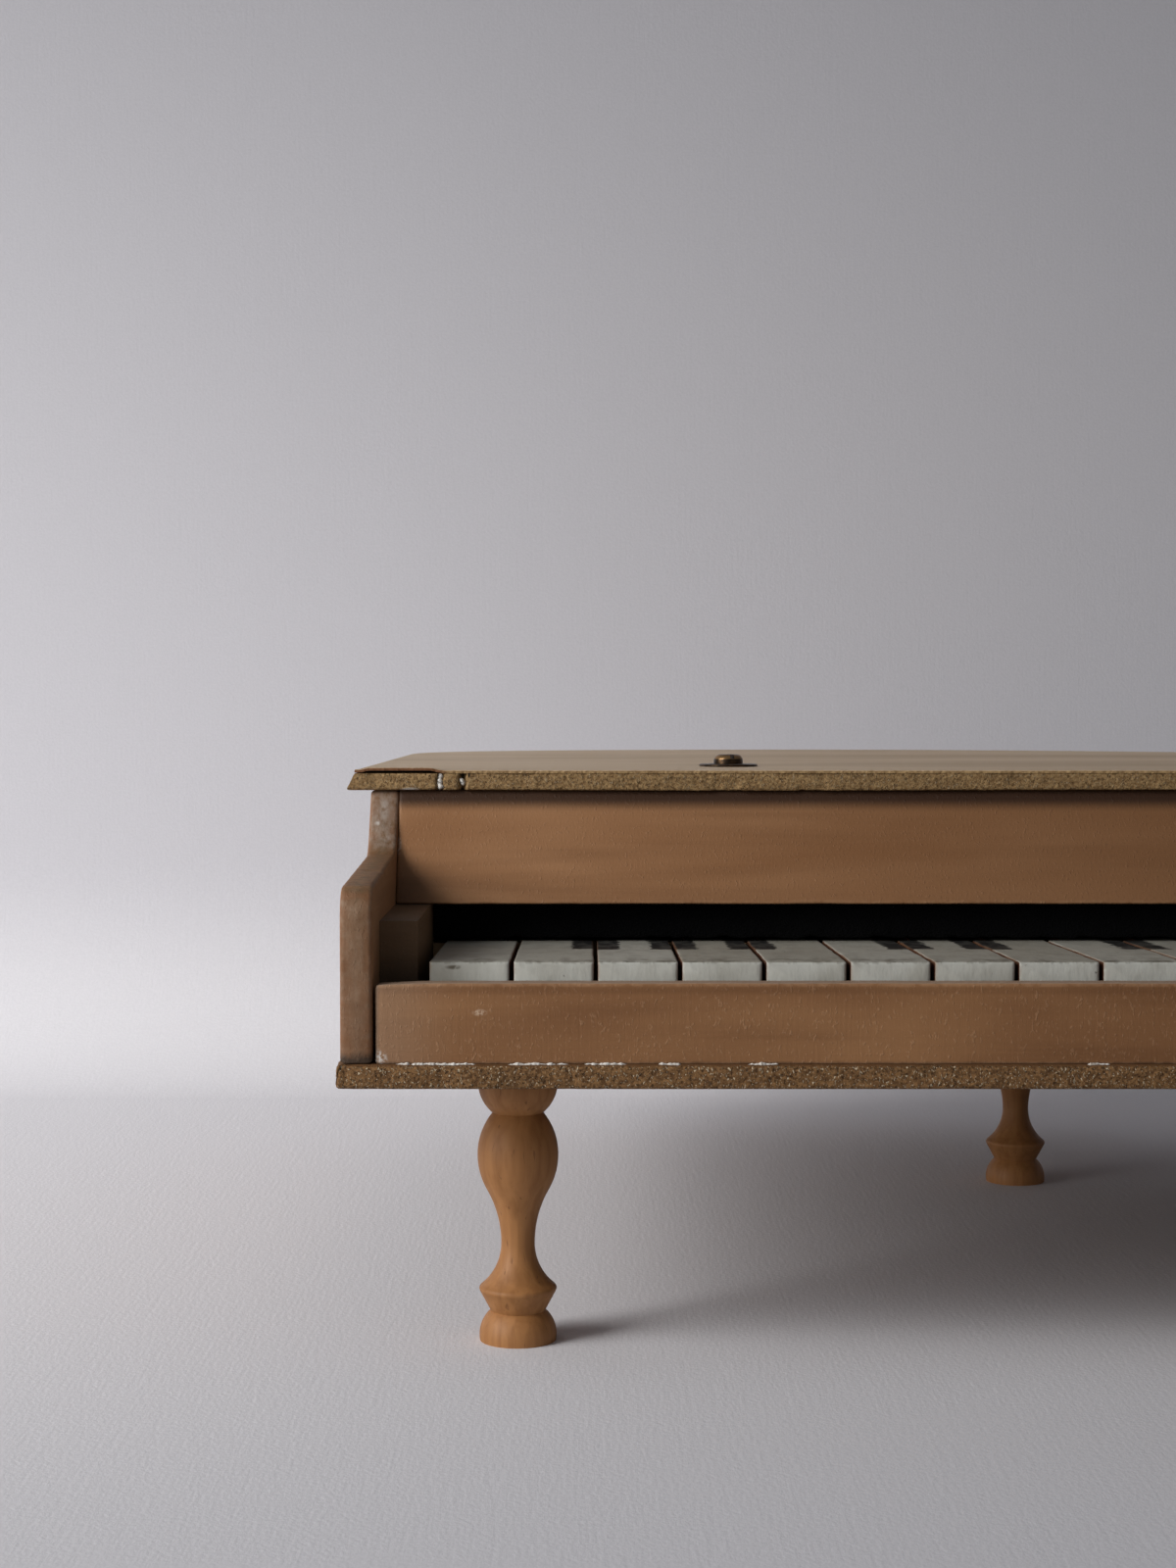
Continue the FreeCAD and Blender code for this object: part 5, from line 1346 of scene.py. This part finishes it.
own = round((keys.x - FIRST_JOINT) / KEY_PITCH + 0.5)
by_number = {"noise_dimensions": "1D"}
own_tone = keys.node("ShaderNodeTexWhiteNoise", by_number, {"W": own + 0.3}, "Value")
worn = keys.noise((90, 90, 90), detail=4, shift=9)
cloudy = keys.noise((240, 120, 240), shift=15)
specks = keys.blots((520, 520, 520), 0.72, 0.78, detail=2, shift=12)
top = keys.rise(keys.up, 0.5, 0.9)
touched = keys.rise(keys.y, key_low.y + 0.014, key_low.y + 0.001)
keys.ground(keys.rise(worn, 0.35, 0.75) * 0.5, CHALK, CHALK_GREY)
# Painted shade: the tops of the keys are laid darker grey than their fronts, by a share that varies
# from key to key.
keys.lay(top * (0.62 + 0.38 * own_tone), CHALK_GREY)
keys.lay(keys.rise(cloudy, 0.40, 0.72) * (0.25 + 0.6 * touched) * top, GRIME_AND_SHADOW)
keys.lay(specks * 0.6, GRIME_AND_SHADOW)
keys.lay(keys.patch(*KEY_CHIP) * keys.rise(brush, 0.3, 0.5), GRIME_AND_SHADOW)
patchy = keys.blots((330, 150, 330), 0.38, 0.58, shift=27)
keys.lay(mark * (0.88 + 0.11 * patchy), CHARCOAL)
keys.lay(keys.rise(abs(keys.across), 0.75, 0.95), RAW_WOOD)
lip = keys.rise(keys.y, key_low.y + 0.0012, key_low.y + 0.0006) * keys.rise(keys.up, 0.15, 0.5)
keys.lay(lip * keys.rise(brush, 0.47, 0.62) * 0.34, GRIME_AND_SHADOW)
# Painted shadow: the left part of the first key is darkened as the shadow of the left side board.
keys.lay(keys.rise(keys.x, key_low.x + 0.017, key_low.x) * 0.5, GRIME_AND_SHADOW)
bared = keys.rub * keys.rise(abs(keys.across), 0.15, 0.5) * keys.rise(cloudy, 0.36, 0.58)
keys.lay(bared * 0.4, paint(122, 92, 66))
key_skin = keys.set(0.62 + 0.15 * worn, 0.5 * brush + worn - specks, depth=0.00025)

# %% [markdown]
# Each key is a head with a narrower tail that runs back under the lid. Paint has made the
# edges of the heads soft and uneven, so a head is one more worn plank, this time from front to
# back. Its top climbs a little towards the player. The tail never shows its edges and is taken
# over from the solid, cut off behind the head.

# %% Keys
HEAD_BACK = -0.10587
FRONT_RISE = 0.0018
PAINT_THICK = 0.00022
PAINT_WAVE = 0.00018
KEY_ROUND = 0.0003


def worn_key(name, seed):
    """Soft-edged head and plain tail of one key."""
    low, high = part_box(name)

    def section(y):
        climb = FRONT_RISE * (HEAD_BACK - y) / (HEAD_BACK - low.y)
        top = high.z + climb - PAINT_THICK * rumple((y, seed, 0), 60, 1.0)
        left = low.x - PAINT_THICK + PAINT_WAVE * rumple((y, seed, 5), 50, 2.0)
        right = high.x + PAINT_THICK - PAINT_WAVE * rumple((y, seed, 9), 50, 3.0)
        return [(low.z, left), (top, left), (top, right), (low.z, right)]

    def radius(y, corner):
        uneven = 0.0 if corner in (0, 3) else rumple((y, seed, corner), 130, 4.0)
        return KEY_ROUND + KEY_ROUND * uneven

    head = worn_plank(low.y, HEAD_BACK, section, radius, axis=1)
    tail = loose_copy(name)
    cut_through(tail, (0, HEAD_BACK + 1e-5, 0), (0, 1, 0), clear_inner=True)
    head.from_mesh(as_mesh(tail, name + "_tail"))
    return head


for number in range(1, KEY_COUNT + 1):
    name = f"key_{number:02d}"
    key_piece = finish_piece(worn_key(name, 7.3 * number), "worn_" + name, key_skin,
                             body=f"note_{number:02d}", replaced=name)
    key_piece.data.set_sharp_from_angle(angle=math.radians(50))

# %% [markdown]
# ## Felt
# A strip of black felt hangs behind the fallboard and closes the gap over the keys. Strips of
# dark red felt lie under the keys and under the tone bars. Felt is soft and has no sharp edge
# anywhere: a copy of each solid is remeshed with small voxels, which rounds it, and noise then
# presses dimples into it.

# %% Felt finish
def felt_finish(name, pale, dark):
    felt = Finish(name, shine=0.05)
    fluff = felt.noise((2200, 2200, 2200))
    matted = felt.noise((260, 260, 260), shift=4)
    felt.ground(fluff * 0.6 + matted * 0.4, dark, pale)
    return felt.set(0.95, fluff + 0.6 * matted, depth=0.0006)


black_felt = felt_finish("black_felt", paint(20, 20, 21), paint(6, 6, 7))
red_felt = felt_finish("red_felt", paint(112, 34, 32), paint(70, 18, 18))

# %% Felt strips
FRAY_HIGH = 0.008


def soft_copy(name, voxel, press, fray):
    """A rounded, dimpled copy of a felt solid; fray lets the lower edge hang unevenly."""
    carrier = add_object(name + "_copy", as_mesh(loose_copy(name), name + "_copy"))
    remesh = carrier.modifiers.new("felt", "REMESH")
    remesh.mode = "VOXEL"
    remesh.voxel_size = voxel
    mesh = applied(carrier)
    low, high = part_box(name)
    for point, normal in zip(mesh.vertices, [p.normal.copy() for p in mesh.vertices]):
        point.co -= normal * press * rumple(point.co, 900, 4.0)
        hang = ease((low.z + FRAY_HIGH - point.co.z) / FRAY_HIGH)
        point.co.z += fray * hang * rumple((point.co.x, 0, 0), 170, 2.0)
    keep_inside(mesh, low, high)
    return mesh


for name, soft_name, felt_skin, slot, voxel, press, fray in (
        ("dust_felt", "hanging_dust_felt", black_felt, "black_felt", 0.0008, 0.0003, 0.0010),
        ("key_felts", "soft_key_felts", red_felt, "rail_felt", 0.0011, 0.0004, 0.0),
        ("bar_felts", "soft_bar_felts", red_felt, "rail_felt", 0.0006, 0.0001, 0.0)):
    strip = soft_copy(name, voxel, press, fray)
    felt_piece = finish_piece(strip, soft_name, felt_skin, replaced=name)

# %% [markdown]
# ## Steel and inner wood
# What is left is hidden in the case: steel bars, pins and rod, and plain unstained wood.

# %% Steel and plain wood
steel = Finish("dull_steel")
drawn = steel.noise((900, 30, 900))
steel.ground(drawn, paint(150, 150, 152), paint(190, 190, 190))
dress(steel.set(0.3 + 0.2 * drawn, metallic=1.0), "tone_bars", "bar_pins", "pivot_rod")

plain = Finish("plain_inner_wood")
plain_grain = plain.noise((20, 300, 300), detail=4)
plain.ground(plain_grain, paint(205, 172, 128), paint(172, 134, 92))
hammers = [f"hammer_{number:02d}" for number in range(1, KEY_COUNT + 1)]
dress(plain.set(0.7, plain_grain, depth=0.0002),
      "lid_rail", "pivot_rail", "key_rails", "bar_frame", *hammers)
